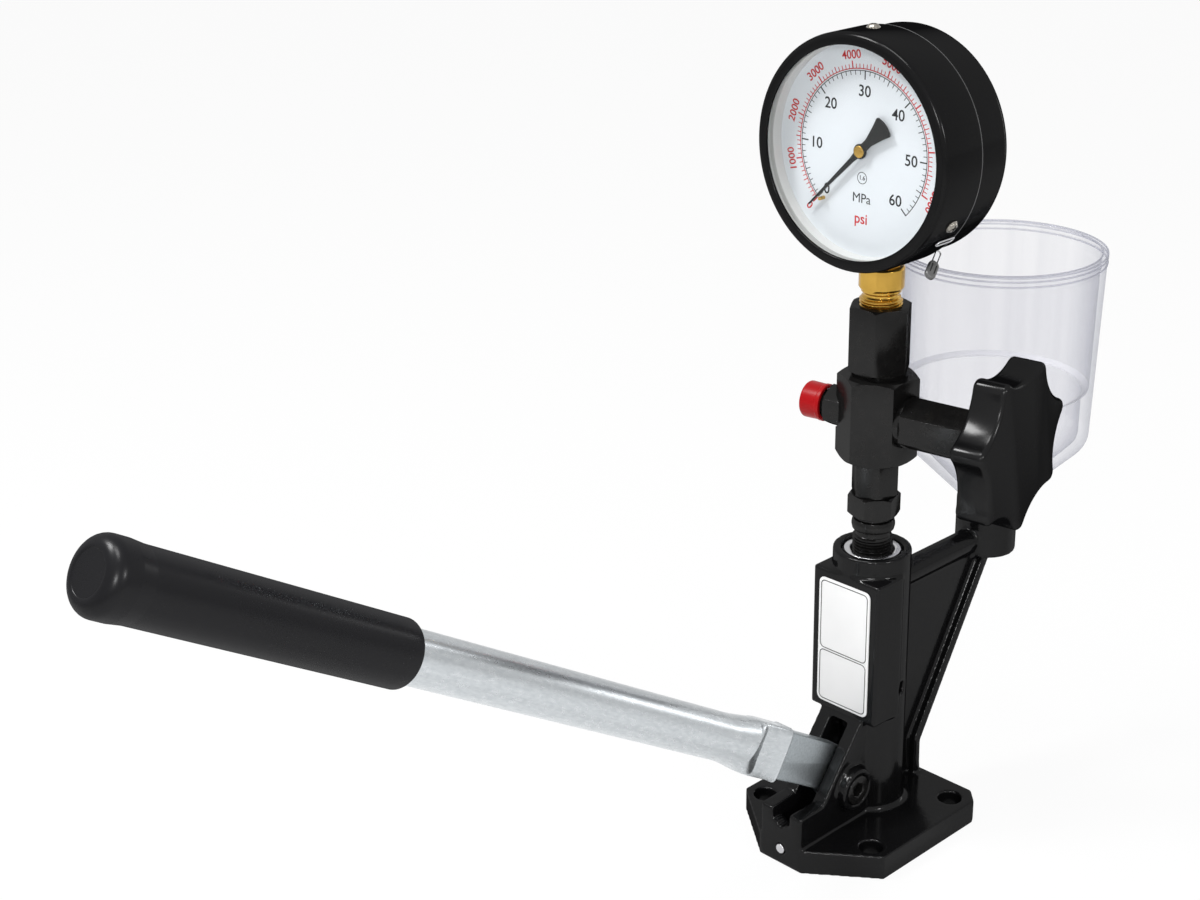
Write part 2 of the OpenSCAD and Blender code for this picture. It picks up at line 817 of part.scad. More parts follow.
module barrel() {
    color([0.66, 0.67, 0.7]) on_tower() difference() {
        union() {
            translate([0, 0, chamber_top + 1]) cylinder(d = barrel_d, h = barrel_z - chamber_top);
            translate([0, 0, barrel_z]) cylinder(d = barrel_flange_d, h = barrel_flange_h);
        }
        cylinder(d = plunger_d + 2*run_gap, h = barrel_top + over);
        translate([0, 0, arm_z]) along_y() cylinder(d = way_d, h = chamber_d);
    }
}

module delivery_seat() {
    color([0.7, 0.7, 0.72]) on_tower(barrel_top) tube(valve_seat_d, valve_stem_d + 2*fit_gap, seat_h);
}

module delivery_valve() {
    color([0.75, 0.75, 0.77]) on_tower(seat_top + valve_gap) {
        translate([0, 0, 1 - seat_h]) cylinder(d = valve_stem_d, h = seat_h);
        cylinder(d = valve_head_d, h = valve_head_h);
    }
}

module delivery_spring() {
    color([0.5, 0.52, 0.55]) on_tower(valve_spring_z)
        helix(valve_spring_r, valve_spring_wire, valve_spring_turns, valve_spring_l);
}

module delivery_connector() {
    groove_r = connector_d/2 - 1.1;
    collar_r = collar_d/2;
    color([0.13, 0.13, 0.14]) on_tower() difference() {
        rotate_extrude() polygon([
            [0, seat_top], [valve_seat_d/2, seat_top],
            [valve_seat_d/2, flange_top], [connector_d/2, flange_top],
            [connector_d/2, thread_top], [groove_r, thread_top],
            [groove_r, collar_z], [collar_r - 1, collar_z], [collar_r, collar_z + 1.5],
            [collar_r, collar_z + collar_h - 1.5], [collar_r - 1, collar_z + collar_h],
            [groove_r, collar_z + collar_h], [groove_r, lock_z], [0, lock_z]
        ]);
        translate([0, 0, seat_top - over]) cylinder(d = valve_chamber_d, h = valve_chamber_h + over);
        translate([0, 0, seat_top]) cylinder(d = way_d, h = lock_z);
        translate([0, 0, lock_z - union_low - over])
            cylinder(d = union_d + 2*fit_gap, h = union_low + 2*over);
    }
}

module clamp_ring() {
    color([0.8, 0.8, 0.8]) on_tower(flange_top) {
        tube(chamber_d - 2*fit_gap, connector_d + 18*fit_gap, ring_h - 1.5);
        tube(chamber_d - 2, connector_d + 18*fit_gap, ring_h);
    }
}

module lock_nut() {
    color([0.12, 0.12, 0.13]) on_tower(lock_z) difference() {
        rotate([0, 0, 48]) hex_bar(lock_af, lock_h);
        translate([0, 0, -over]) cylinder(d = union_d + 2*fit_gap, h = lock_h + 2*over);
    }
}

module block_union() {
    color([0.12, 0.12, 0.13]) on_tower(union_z) difference() {
        union() {
            rotate([0, 0, 19]) hex_bar(union_af, union_h, high = false);
            translate([0, 0, -lock_h - union_low]) cylinder(d = union_d, h = lock_h + union_low + over);
            cylinder(d = union_port_d, h = union_h + port_depth - over);
        }
        translate([0, 0, -lock_h - union_low - over]) cylinder(d = way_d, h = lock_h + union_h + block_h);
    }
}

// Valve block with its outlet and relief valve

module valve_block() {
    color([0.14, 0.14, 0.15]) difference() {
        on_tower(block_z) rotate([0, 0, 30]) hex_bar(block_af, block_h);
        on_tower(block_z - over) cylinder(d = way_d, h = block_h + 2*over);
        on_tower(block_z - over) cylinder(d = union_port_d + 2*fit_gap, h = port_depth + over);
        on_tower(adapter_z - port_depth - over)
            cylinder(d = adapter_port_d + 2*fit_gap, h = port_depth + 2*over);
        outlet_frame() cylinder(d = way_d, h = block_face);
        outlet_frame(seat_x - side_depth) cylinder(d = outlet_port_d + 2*fit_gap, h = side_depth + over);
        outlet_frame(seat_x) cylinder(d = outlet_spot_d, h = block_face);
        valve_frame() cylinder(d = way_d, h = block_face);
        valve_frame(seat_x - side_depth) cylinder(d = bonnet_port_d + 2*fit_gap, h = side_depth + over);
        valve_frame(seat_x) cylinder(d = bonnet_collar_d + 2*pass_gap, h = block_face);
    }
}

module outlet_nipple() {
    neck = 2;
    end = outlet_hex_l + neck + outlet_l;
    color([0.13, 0.13, 0.14]) outlet_frame(seat_x) difference() {
        union() {
            translate([0, 0, 1 - side_depth]) cylinder(d = outlet_port_d, h = side_depth);
            hex_bar(outlet_af, outlet_hex_l, low = false);
            cylinder(d = outlet_d - 2.8, h = end);
            translate([0, 0, outlet_hex_l + neck]) cylinder(d = outlet_d, h = outlet_l);
        }
        translate([0, 0, -side_depth]) cylinder(d = way_d, h = side_depth + end);
        translate([0, 0, end - 3]) cylinder(d1 = way_d, d2 = way_d + 4, h = 3.01);
    }
}

module outlet_cap() {
    color([0.78, 0.1, 0.1]) outlet_frame(seat_x + outlet_hex_l + 2.2) difference() {
        cylinder(d = cap_d, h = outlet_l + cap_t);
        translate([0, 0, -over]) cylinder(d = outlet_d + 2*fit_gap, h = outlet_l + over);
    }
}

module valve_bonnet() {
    color([0.14, 0.14, 0.15]) difference() {
        union() {
            valve_frame(seat_x - side_depth + 1) cylinder(d = bonnet_port_d, h = side_depth);
            valve_frame(seat_x) cylinder(d = bonnet_collar_d, h = bonnet_collar_t);
            valve_frame(bonnet_x) hex_bar(bonnet_af, bonnet_l, low = false);
        }
        valve_frame() cylinder(d = needle_d + 2*fit_gap, h = bonnet_end + over);
        valve_frame(needle_end - seal_l) cylinder(d = spindle_d + 2*fit_gap, h = bonnet_end);
    }
}

module stem_seal() {
    color([0.15, 0.15, 0.15]) valve_frame(needle_end - seal_l)
        tube(spindle_d, needle_d + 2*fit_gap, seal_l - fit_gap);
}

module valve_needle() {
    shoulder_x = seat_x - side_depth + 1.8;
    color([0.75, 0.75, 0.77]) {
        valve_frame(shoulder_x) cylinder(d = needle_d, h = needle_end - shoulder_x);
        valve_frame(shoulder_x - needle_d/2 + 0.3) cylinder(d1 = 0.6, d2 = needle_d, h = needle_d/2 - 0.3);
    }
}

module valve_spindle() {
    color([0.4, 0.4, 0.42]) {
        valve_frame(needle_end + pass_gap) cylinder(d = spindle_d, h = hub_x - needle_end - pass_gap);
        valve_frame(needle_end + pass_gap)
            cylinder(d = spindle_end_d, h = spindle_end - needle_end - pass_gap);
    }
}

module knob_outline() {
    scallop_at = knob_d/2 - scallop_depth + scallop_r;
    difference() {
        circle(d = knob_d);
        for (k = [0:knob_lobes - 1])
            rotate(90 + knob_phase + (k + 0.5)*360/knob_lobes) translate([scallop_at, 0]) circle(scallop_r);
    }
}

module knob() {
    color([0.08, 0.08, 0.09]) difference() {
        union() {
            valve_frame(knob_x) linear_extrude(knob_t) knob_outline();
            valve_frame(hub_x) cylinder(d = hub_d, h = hub_l + over);
        }
        valve_frame(hub_x - over)
            cylinder(d = spindle_end_d + 2*fit_gap, h = spindle_end - hub_x + over + fit_gap);
    }
}

// Gauge adapter and gauge

module gauge_adapter() {
    color([0.13, 0.13, 0.14]) difference() {
        union() {
            on_tower(adapter_z - port_depth) cylinder(d = adapter_port_d, h = port_depth + over);
            on_tower(adapter_z) cylinder(d = adapter_af - 1.4, h = adapter_ring_h);
            on_tower(adapter_hex_z) hex_bar(adapter_af, adapter_h);
        }
        on_tower(adapter_z - port_depth - over) cylinder(d = way_d, h = adapter_h + port_depth);
        on_tower(adapter_top - socket_thread - washer_h)
            cylinder(d = socket_d + 2*fit_gap, h = socket_thread + washer_h + over);
    }
}

module adapter_washer() {
    color([0.72, 0.42, 0.25]) on_tower(adapter_top - socket_thread - washer_h)
        tube(socket_d, way_d + 3, washer_h);
}

module gauge_socket() {
    thread_z = adapter_top - socket_thread;
    color([0.78, 0.6, 0.22]) difference() {
        union() {
            on_tower(thread_z) cylinder(d = socket_d, h = socket_thread + socket_collar_h);
            on_tower(thread_z) cylinder(d = waist_d, h = socket_block_z + 4 - thread_z);
            on_tower(flats_z) intersection() {
                cylinder(d = socket_d + 1, h = socket_flat_h);
                translate([-socket_d, -socket_af/2, 0]) cube([2*socket_d, socket_af, socket_flat_h]);
            }
            on_tower(socket_block_z) translate([-socket_block_w/2, -socket_block_t/2, 0])
                cube([socket_block_w, socket_block_t, socket_block_top - socket_block_z]);
        }
        on_tower(thread_z - over) cylinder(d = way_d, h = socket_block_z + 6 - thread_z);
    }
}

// Hole and open slot through which the socket enters the gauge
module socket_way() {
    translate([0, 0, -gauge_front]) rotate([90, 0, 0]) cylinder(d = waist_d + 2*pass_gap, h = gauge_d);
}

module gauge_case() {
    round_r = 5;
    inner = case_r - case_wall;
    d = gauge_depth;
    color([0.1, 0.1, 0.11]) gauge_frame() difference() {
        rotate_extrude() difference() {
            union() {
                translate([0, -d]) square([case_r - round_r, d - case_w]);
                translate([0, round_r - d]) square([case_r, d - case_w - round_r]);
                translate([case_r - round_r, round_r - d]) circle(round_r);
            }
            translate([-over, -ledge_w]) square([inner + over, d]);
            translate([-over, case_wall - d]) square([ledge_r + over, d]);
            translate([-over, case_wall - d]) square([inner + over, d - case_wall - ledge_w - 3]);
        }
        socket_way();
        at_seal() wire_ring(wire_d + 2*pass_gap);
        for (a = screw_at) rotate([0, 0, a]) translate([0, 0, -screw_w]) along_x()
            cylinder(d = screw_d + 2*fit_gap, h = gauge_d);
    }
}

module gauge_bezel() {
    slot = waist_d + 2*pass_gap;
    color([0.08, 0.08, 0.09]) gauge_frame() difference() {
        rotate_extrude() union() {
            translate([skirt_r, -skirt_l]) square([skirt_t, skirt_l]);
            translate([gauge_r - lip_w, -lip_t]) square([lip_w, lip_t]);
        }
        socket_way();
        translate([-slot/2, -gauge_d, -gauge_depth])
            cube([slot, gauge_d, gauge_depth - gauge_front + slot/4]);
        for (a = screw_at) rotate([0, 0, a]) translate([0, 0, -screw_w]) along_x()
            cylinder(d = screw_d + 2*fit_gap, h = gauge_d);
        rotate([0, 0, seal_at]) translate([skirt_r - over, 0, -seal_w]) for (s = [-1, 1])
            translate([0, 0, s*seal_half]) along_x() cylinder(d = wire_d + 4*pass_gap, h = 2*over + skirt_t);
    }
}

module bezel_screws() {
    color("silver") gauge_frame(screw_w) for (a = screw_at) rotate([0, 0, a]) along_x() {
        translate([0, 0, gauge_r]) cylinder(d = screw_head_d, h = screw_head_h);
        translate([0, 0, case_r - case_wall])
            cylinder(d = screw_d, h = gauge_r + screw_head_h/2 - case_r + case_wall);
    }
}

module gauge_glass() {
    color([0.85, 0.9, 0.92, 0.35]) gauge_frame(lip_t + glass_t) cylinder(r = glass_r, h = glass_t);
}

module gauge_dial() {
    color("white") gauge_frame(ledge_w) difference() {
        cylinder(r = dial_r, h = dial_t);
        translate([0, 0, -over]) cylinder(d = arbor_d + 2*pass_gap, h = dial_t + 2*over);
    }
}

module stop_pin() {
    color([0.8, 0.62, 0.2]) gauge_frame(dial_w) rotate([0, 0, stop_zero]) translate([stop_r, 0, 0])
        cylinder(d = stop_d, h = 3);
}

module pointer() {
    root_w = 2.6;
    tip_w = 0.6;
    tail_w = 10;
    color([0.05, 0.05, 0.05]) gauge_frame(pointer_w + pointer_t) rotate([0, 0, pointer_zero])
        linear_extrude(pointer_t) difference() {
            union() {
                circle(3.2);
                polygon([
                    [0, -root_w/2], [pointer_l, -tip_w/2], [pointer_l, tip_w/2], [0, root_w/2],
                    [-pointer_tail*0.5, root_w], [-pointer_tail, tail_w/2], [-pointer_tail, -tail_w/2],
                    [-pointer_tail*0.5, -root_w]
                ]);
            }
            circle(d = arbor_d + 2*run_gap);
        }
}

module pointer_arbor() {
    color([0.78, 0.62, 0.25]) gauge_frame(back_plate_w + plate_t) {
        cylinder(d = arbor_d, h = back_plate_w + plate_t - pointer_w + 1);
        translate([0, 0, back_plate_w + plate_t - gear_w - gear_t - pass_gap])
            linear_extrude(gear_t + 2*pass_gap) {
                circle(pinion_r - tooth_in);
                for (k = [0:pinion_teeth - 1]) tooth(pinion_r, 270 + k*360/pinion_teeth);
            }
    }
}

module sector_outline() {
    pitch = 360/pinion_teeth/gear_ratio;
    first = floor(6/pitch);
    last = ceil(36/pitch);
    rim = sector_r - tooth_in;
    polygon(concat([[0, 0]], [for (k = [-first - 1:last + 1]) rim*[sin(k*pitch), cos(k*pitch)]]));
    for (k = [-first:last]) tooth(sector_r, 90 - (k + 0.5)*pitch);
    circle(4);
    translate([-sector_tail, -2]) square([sector_tail, 4]);
}

module sector_gear() {
    color([0.78, 0.62, 0.25]) gauge_frame(back_plate_w + plate_t) translate([0, sector_y, 0]) {
        cylinder(d = arbor_d, h = back_plate_w + plate_t - front_plate_w);
        translate([0, 0, back_plate_w + plate_t - gear_w - gear_t]) linear_extrude(gear_t) sector_outline();
    }
}

module plate_outline() {
    foot_y = socket_block_top - gauge_z;
    difference() {
        polygon([[-8, foot_y], [8, foot_y], [8, sector_y + 4], [6, 6], [-6, 6], [-8, sector_y + 4]]);
        circle(d = arbor_d + 2*run_gap);
        translate([0, sector_y]) circle(d = arbor_d + 2*run_gap);
    }
}

// Two plates held apart by pillars; the back one stands on the socket block
module movement_plates() {
    gap = back_plate_w - front_plate_w - plate_t;
    color([0.72, 0.56, 0.25]) {
        gauge_frame(front_plate_w + plate_t) linear_extrude(plate_t) plate_outline();
        gauge_frame(back_plate_w + plate_t) linear_extrude(plate_t) plate_outline();
        for (x = [-6.4, 6.4]) gauge_frame(back_plate_w) translate([x, sector_y - 5.6, 0])
            cylinder(d = 2.4, h = gap);
    }
}

// Link hung from the free end of the bourdon tube
module movement_link() {
    end = bourdon_r*[cos(bourdon_to - 3), sin(bourdon_to - 3)];
    color([0.7, 0.7, 0.72]) gauge_frame(bourdon_w) translate(end) rotate(-58) linear_extrude(1) {
        circle(2);
        translate([0, -1]) square([24, 2]);
        translate([24, 0]) circle(2);
    }
}

module bourdon_tube() {
    color([0.75, 0.58, 0.25]) gauge_frame(bourdon_w + bourdon_h) rotate([0, 0, bourdon_from])
        rotate_extrude(angle = bourdon_to - bourdon_from)
            translate([bourdon_r - bourdon_t/2, 0]) square([bourdon_t, bourdon_h]);
}

// Lead seal on a wire ring through the bezel skirt, drawn in the gauge frame

module at_seal() {
    rotate([0, 0, seal_at]) translate([gauge_r + wire_out - skirt_t/2, 0, -seal_w]) children();
}

module wire_ring(d) {
    rotate([90, 0, 0]) rotate_extrude() translate([wire_r, 0]) circle(d = d, $fn = 16);
}

module seal_wire() {
    color([0.7, 0.7, 0.7]) gauge_frame() at_seal() wire_ring(wire_d);
}

// Leaf-shaped tag that hangs from the front of the wire
module lead_seal() {
    lean = 58;
    leaf_l = 10.8;
    leaf_w = 4.8;
    leaf_t = 2.2;
    color([0.3, 0.3, 0.29]) gauge_frame() at_seal() difference() {
        rotate([0, -lean, 0]) translate([wire_r + leaf_l/2 - 0.6, 0, 0]) rotate([90, 0, 0])
            linear_extrude(leaf_t, center = true) scale([leaf_l/leaf_w, 1]) circle(d = leaf_w);
        wire_ring(wire_d + 2*fit_gap);
    }
}

// Oil cup on the rear boss

function cup_side(h) =
    (cup_low_d + (cup_d - cup_low_d)*(h - cup_round_z)/(cup_h - cup_band - cup_round_z))/2;

// Radius where the cone meets the floor of the cup, drawn in by a wall
function cup_floor_r(wall) = cup_foot_r + cup_wall/tan(cup_cone) - wall/sin(cup_cone);

// Round between the cone and the side, drawn in by a wall
function cup_bend(wall) = [
    for (t = [cup_cone - 90:15:0])
        [cup_low_d/2 - cup_round + (cup_round - wall)*cos(t), cup_round_z + (cup_round - wall)*sin(t)]
];

module oil_cup() {
    side_top = cup_h - cup_band;
    bead = cup_d/2;
    thick = cup_wall + cup_ledge;
    color([0.85, 0.88, 0.92, 0.35]) on_cup(cup_z) difference() {
        union() {
            rotate_extrude() polygon(concat(
                [[0, 0], [cup_foot_r, 0]], cup_bend(0),
                [[bead - 0.4, side_top], [bead, side_top + 1], [bead, cup_h], [0, cup_h]]
            ));
            translate([0, 0, -spigot_l - seal_t + over]) cylinder(d = spigot_d, h = spigot_l + seal_t);
        }
        rotate_extrude() polygon(concat(
            [[0, cup_wall], [cup_floor_r(thick), cup_wall]], cup_bend(thick),
            [
                [cup_side(cup_ledge_h) - thick, cup_ledge_h], [cup_side(cup_ledge_h) - cup_wall, cup_ledge_h],
                [bead - cup_wall - 0.4, side_top], [bead - cup_wall - 0.4, cup_h + over], [0, cup_h + over]
            ]
        ));
        translate([0, 0, -spigot_l - seal_t]) cylinder(d = cup_hole_d, h = cup_h);
    }
}

module cup_seal() {
    color([0.12, 0.12, 0.12]) on_cup(boss_top) tube(26, spigot_d + 4*fit_gap, seal_t);
}

echo(plunger_spring_gap = helix_gap(spring_r, spring_wire, spring_turns, spring_top - spring_z));
echo(delivery_spring_gap = helix_gap(valve_spring_r, valve_spring_wire, valve_spring_turns, valve_spring_l));

pump_body();
label_plate();
front_plug();
gallery_plug();
pivot_bolt();
pivot_nut();
lever_tongue();
pivot_bush();
lever_tube();
lever_grip();
tappet();
spring_seat();
plunger_spring();
upper_spring_seat();
plunger();
barrel_gasket();
barrel();
delivery_seat();
delivery_valve();
delivery_spring();
delivery_connector();
clamp_ring();
lock_nut();
block_union();
valve_block();
outlet_nipple();
outlet_cap();
valve_bonnet();
stem_seal();
valve_needle();
valve_spindle();
knob();
gauge_adapter();
adapter_washer();
gauge_socket();
gauge_case();
gauge_bezel();
bezel_screws();
gauge_glass();
gauge_dial();
stop_pin();
pointer();
pointer_arbor();
sector_gear();
movement_plates();
movement_link();
bourdon_tube();
seal_wire();
lead_seal();
oil_cup();
cup_seal();
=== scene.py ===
import json
import logging
import math
from dataclasses import dataclass
from enum import Enum
from typing import Callable, Sequence

import bmesh
import bpy
from mathutils import Matrix, Vector


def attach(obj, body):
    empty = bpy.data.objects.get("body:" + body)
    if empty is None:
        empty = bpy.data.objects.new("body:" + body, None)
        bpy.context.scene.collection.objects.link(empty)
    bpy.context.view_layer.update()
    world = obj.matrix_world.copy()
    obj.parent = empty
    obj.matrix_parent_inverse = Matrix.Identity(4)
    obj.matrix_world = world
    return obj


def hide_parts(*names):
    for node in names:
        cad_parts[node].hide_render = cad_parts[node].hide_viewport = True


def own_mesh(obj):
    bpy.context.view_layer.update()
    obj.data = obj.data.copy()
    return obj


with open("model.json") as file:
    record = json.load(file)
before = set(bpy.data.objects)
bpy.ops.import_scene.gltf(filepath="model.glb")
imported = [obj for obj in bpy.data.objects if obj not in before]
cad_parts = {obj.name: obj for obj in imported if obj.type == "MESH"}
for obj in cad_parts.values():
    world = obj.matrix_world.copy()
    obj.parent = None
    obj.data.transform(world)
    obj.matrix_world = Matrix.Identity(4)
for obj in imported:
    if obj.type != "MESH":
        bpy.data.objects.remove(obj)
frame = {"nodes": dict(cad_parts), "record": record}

log = logging.getLogger("injector_tester")
Pair = tuple[float, float]
Triple = tuple[float, float, float]
Colour = Triple
Corner = tuple[float, ...]

# Metres to the millimetre
MM = 0.001

# Places of the sub-assemblies, in millimetres and degrees
TOWER_Y = 5.0
CUP_Y = 93.0
CROSS_Z = 206.5
CROSS_TURN = 8.0
GAUGE_Y = -20.6
GAUGE_Z = 328.9
PIVOT_Y = -20.5
PIVOT_Z = 31.15
LEVER_TILT = -31.79


def shift(x: float = 0.0, y: float = 0.0, z: float = 0.0) -> Matrix:
    """A move along the three axes."""
    return Matrix.Translation((x, y, z))


def rotation(degrees: float, axis: str) -> Matrix:
    """A turn about one of the axes."""
    return Matrix.Rotation(math.radians(degrees), 4, axis)


# Frame of the cross axis: X runs along it to the knob
CROSS = shift(y=TOWER_Y, z=CROSS_Z) @ rotation(CROSS_TURN, "Z")

# Frames of the sub-assemblies: Z runs along the part's own axis
TOWER = shift(y=TOWER_Y)
CUP = shift(y=CUP_Y)
VALVE = CROSS @ rotation(90.0, "Y")
OUTLET = CROSS @ rotation(-90.0, "Y")
GAUGE = shift(y=GAUGE_Y, z=GAUGE_Z) @ rotation(90.0, "X")

# Frame of the lever: -Y runs along it from the pivot
LEVER = shift(y=PIVOT_Y, z=PIVOT_Z) @ rotation(LEVER_TILT, "X")


# Finishes


class Wire:
    """A shader output that takes part in plain arithmetic."""

    def __init__(self, recipe: "Recipe", socket: bpy.types.NodeSocket) -> None:
        """Keep the recipe that owns the node tree and the output socket."""
        self.recipe = recipe
        self.socket = socket

    def _math(self, operation: str, *values: "Wire | float") -> "Wire":
        """Add one math node.

        Args:
            operation: Name of the math operation.
            values: Inputs in order.

        Returns:
            The node's output.
        """
        return self.recipe.node("ShaderNodeMath", {"operation": operation}, dict(enumerate(values)))

    def __add__(self, other: "Wire | float") -> "Wire":
        """Sum."""
        return self._math("ADD", self, other)

    def __radd__(self, other: float) -> "Wire":
        """Sum with the number first."""
        return self._math("ADD", other, self)

    def __sub__(self, other: "Wire | float") -> "Wire":
        """Difference."""
        return self._math("SUBTRACT", self, other)

    def __rsub__(self, other: float) -> "Wire":
        """Difference with the number first."""
        return self._math("SUBTRACT", other, self)

    def __mul__(self, other: "Wire | float") -> "Wire":
        """Product."""
        return self._math("MULTIPLY", self, other)

    def __rmul__(self, other: float) -> "Wire":
        """Product with the number first."""
        return self._math("MULTIPLY", other, self)

    def __pow__(self, other: "Wire | float") -> "Wire":
        """Power."""
        return self._math("POWER", self, other)

    def at_least(self, other: "Wire | float") -> "Wire":
        """The larger of two values."""
        return self._math("MAXIMUM", self, other)

    def between(self, low: float, high: float) -> "Wire":
        """Spread a value of 0 to 1 over low to high."""
        return self * (high - low) + low


class Recipe:
    """The nodes of one material or world."""

    def __init__(self, tree: bpy.types.NodeTree) -> None:
        """Start with that node tree emptied."""
        self.tree = tree
        self.tree.nodes.clear()

    def add(self, kind: str, settings: dict | None = None, values: dict | None = None) -> bpy.types.Node:
        """Add a node, set it up and feed it.

        Args:
            kind: Node type.
            settings: Properties, set first.
            values: Inputs by name or place, each a number, colour or wire.

        Returns:
            The node.
        """
        made = self.tree.nodes.new(kind)
        for key, value in (settings or {}).items():
            setattr(made, key, value)
        for key, value in (values or {}).items():
            if isinstance(value, Wire):
                self.tree.links.new(value.socket, made.inputs[key])
            else:
                made.inputs[key].default_value = value
        return made

    def node(self, kind: str, settings: dict | None = None, values: dict | None = None,
             out: int | str = 0) -> Wire:
        """Add a node and hand on one of its outputs.

        Args:
            kind: Node type.
            settings: Properties, set first.
            values: Inputs by name or place.
            out: Output to hand on.

        Returns:
            The chosen output.
        """
        return Wire(self, self.add(kind, settings, values).outputs[out])

    def place(self, stretch: Triple = (1.0, 1.0, 1.0), tilt: float = 0.0) -> Wire:
        """Object coordinates, stretched along tilted axes.

        Args:
            stretch: How much longer a pattern gets along each axis.
            tilt: Turn of the axes about X, in degrees.

        Returns:
            The coordinates.
        """
        spot = self.node("ShaderNodeTexCoord", out="Object")
        turn = (math.radians(tilt), 0.0, 0.0)
        return self.node("ShaderNodeMapping", {"vector_type": "TEXTURE"},
                         {"Vector": spot, "Rotation": turn, "Scale": stretch})

    def noise(self, spot: Wire, scale: float, detail: float = 3.0) -> Wire:
        """Soft noise.

        Args:
            spot: Coordinates.
            scale: Lumps to the metre.
            detail: Finer layers.

        Returns:
            A value of about 0 to 1.
        """
        return self.node("ShaderNodeTexNoise", values={"Vector": spot, "Scale": scale, "Detail": detail})

    def blend(self, share: Wire | float, first: Wire | Corner, second: Wire | Corner) -> Wire:
        """Mix two colours.

        Args:
            share: Share of the second.
            first: First colour.
            second: Second colour.

        Returns:
            The mixed colour.
        """
        return self.node("ShaderNodeMix", {"data_type": "RGBA"}, {0: share, 6: first, 7: second}, out=2)

    def close(self, kind: str, surface: Wire) -> None:
        """Join the surface to an output node of that kind."""
        self.add(kind, values={"Surface": surface})


@dataclass(frozen=True)
class Finish:
    """A solid surface: two close colours in patches, uneven gloss and a fine grain."""

    name: str
    colour: Colour
    shade: Colour
    metallic: float = 0.0
    gloss: Pair = (0.3, 0.4)
    patch: float = 60.0
    grain: float = 900.0
    relief: float = 0.02
    shine: float = 0.5
    stretch: Triple = (1.0, 1.0, 1.0)
    tilt: float = 0.0
    hood: float = 0.0

    @property
    def mean(self) -> Corner:
        """The colour half way between the two, opaque."""
        return (*((a + b) / 2 for a, b in zip(self.colour, self.shade)), 1.0)

    def surface(self, recipe: Recipe) -> Wire:
        """Lay out the surface; a hood turns it matt where it is seen edge on.

        Args:
            recipe: Recipe that takes the nodes.

        Returns:
            The shader.
        """
        spot = recipe.place(self.stretch, self.tilt)
        share = recipe.noise(spot, self.patch, 4.0)
        fine = recipe.noise(spot, self.grain, 2.0)
        colour = recipe.blend(share, (*self.colour, 1.0), (*self.shade, 1.0))
        bump = recipe.node("ShaderNodeBump", values={
            "Strength": 0.6, "Distance": self.relief * MM, "Height": fine})
        coat = recipe.node("ShaderNodeBsdfPrincipled", values={
            "Base Color": colour,
            "Metallic": self.metallic,
            "Roughness": (share * 0.6 + fine * 0.4).between(*self.gloss),
            "Specular IOR Level": self.shine,
            "Normal": bump,
        })
        if not self.hood:
            return coat
        facing = recipe.node("ShaderNodeLayerWeight", values={"Blend": 0.5}, out="Facing")
        matt = recipe.node("ShaderNodeBsdfDiffuse", values={"Color": self.mean})
        return recipe.node("ShaderNodeMixShader", values={0: facing * self.hood, 1: coat, 2: matt})

    def build(self) -> bpy.types.Material:
        """Make the material.

        Returns:
            The material, under the finish's own name.
        """
        material = bpy.data.materials.new(self.name)
        material.use_nodes = True
        recipe = Recipe(material.node_tree)
        recipe.close("ShaderNodeOutputMaterial", self.surface(recipe))
        return material


@dataclass(frozen=True)
class Clear(Finish):
    """A see-through wall: clear face on, tinted and shiny edge on."""

    pane: Colour = (0.95, 0.95, 0.96)
    rim: Colour = (0.7, 0.72, 0.8)
    veil: float = 0.05
    edge: float = 0.5
    sharpness: float = 3.0
    # Strength of the painted reflections: vertical streaks of lighter and darker tint up the wall.
    waves: float = 0.0

    def surface(self, recipe: Recipe) -> Wire:
        """Mix a clear pane with its shine; vertical streaks in its tint are painted reflections.

        Args:
            recipe: Recipe that takes the nodes.

        Returns:
            The shader.
        """
        shine = Finish.surface(self, recipe)
        facing = recipe.node("ShaderNodeLayerWeight", values={"Blend": 0.5}, out="Facing")
        depth = facing ** self.sharpness
        # Noise stretched up the wall gives vertical streaks of tint, which paint reflections.
        reflection_streaks = recipe.noise(recipe.place(self.stretch), self.patch)
        face_on, edge_on = (recipe.node("ShaderNodeBsdfTransparent", values={"Color": (*tint, 1.0)})
                            for tint in (self.pane, self.rim))
        tinted = depth + (reflection_streaks - 0.5) * self.waves
        through = recipe.node("ShaderNodeMixShader", values={0: tinted, 1: face_on, 2: edge_on})
        share = depth * self.edge + self.veil
        return recipe.node("ShaderNodeMixShader", values={0: share, 1: through, 2: shine})


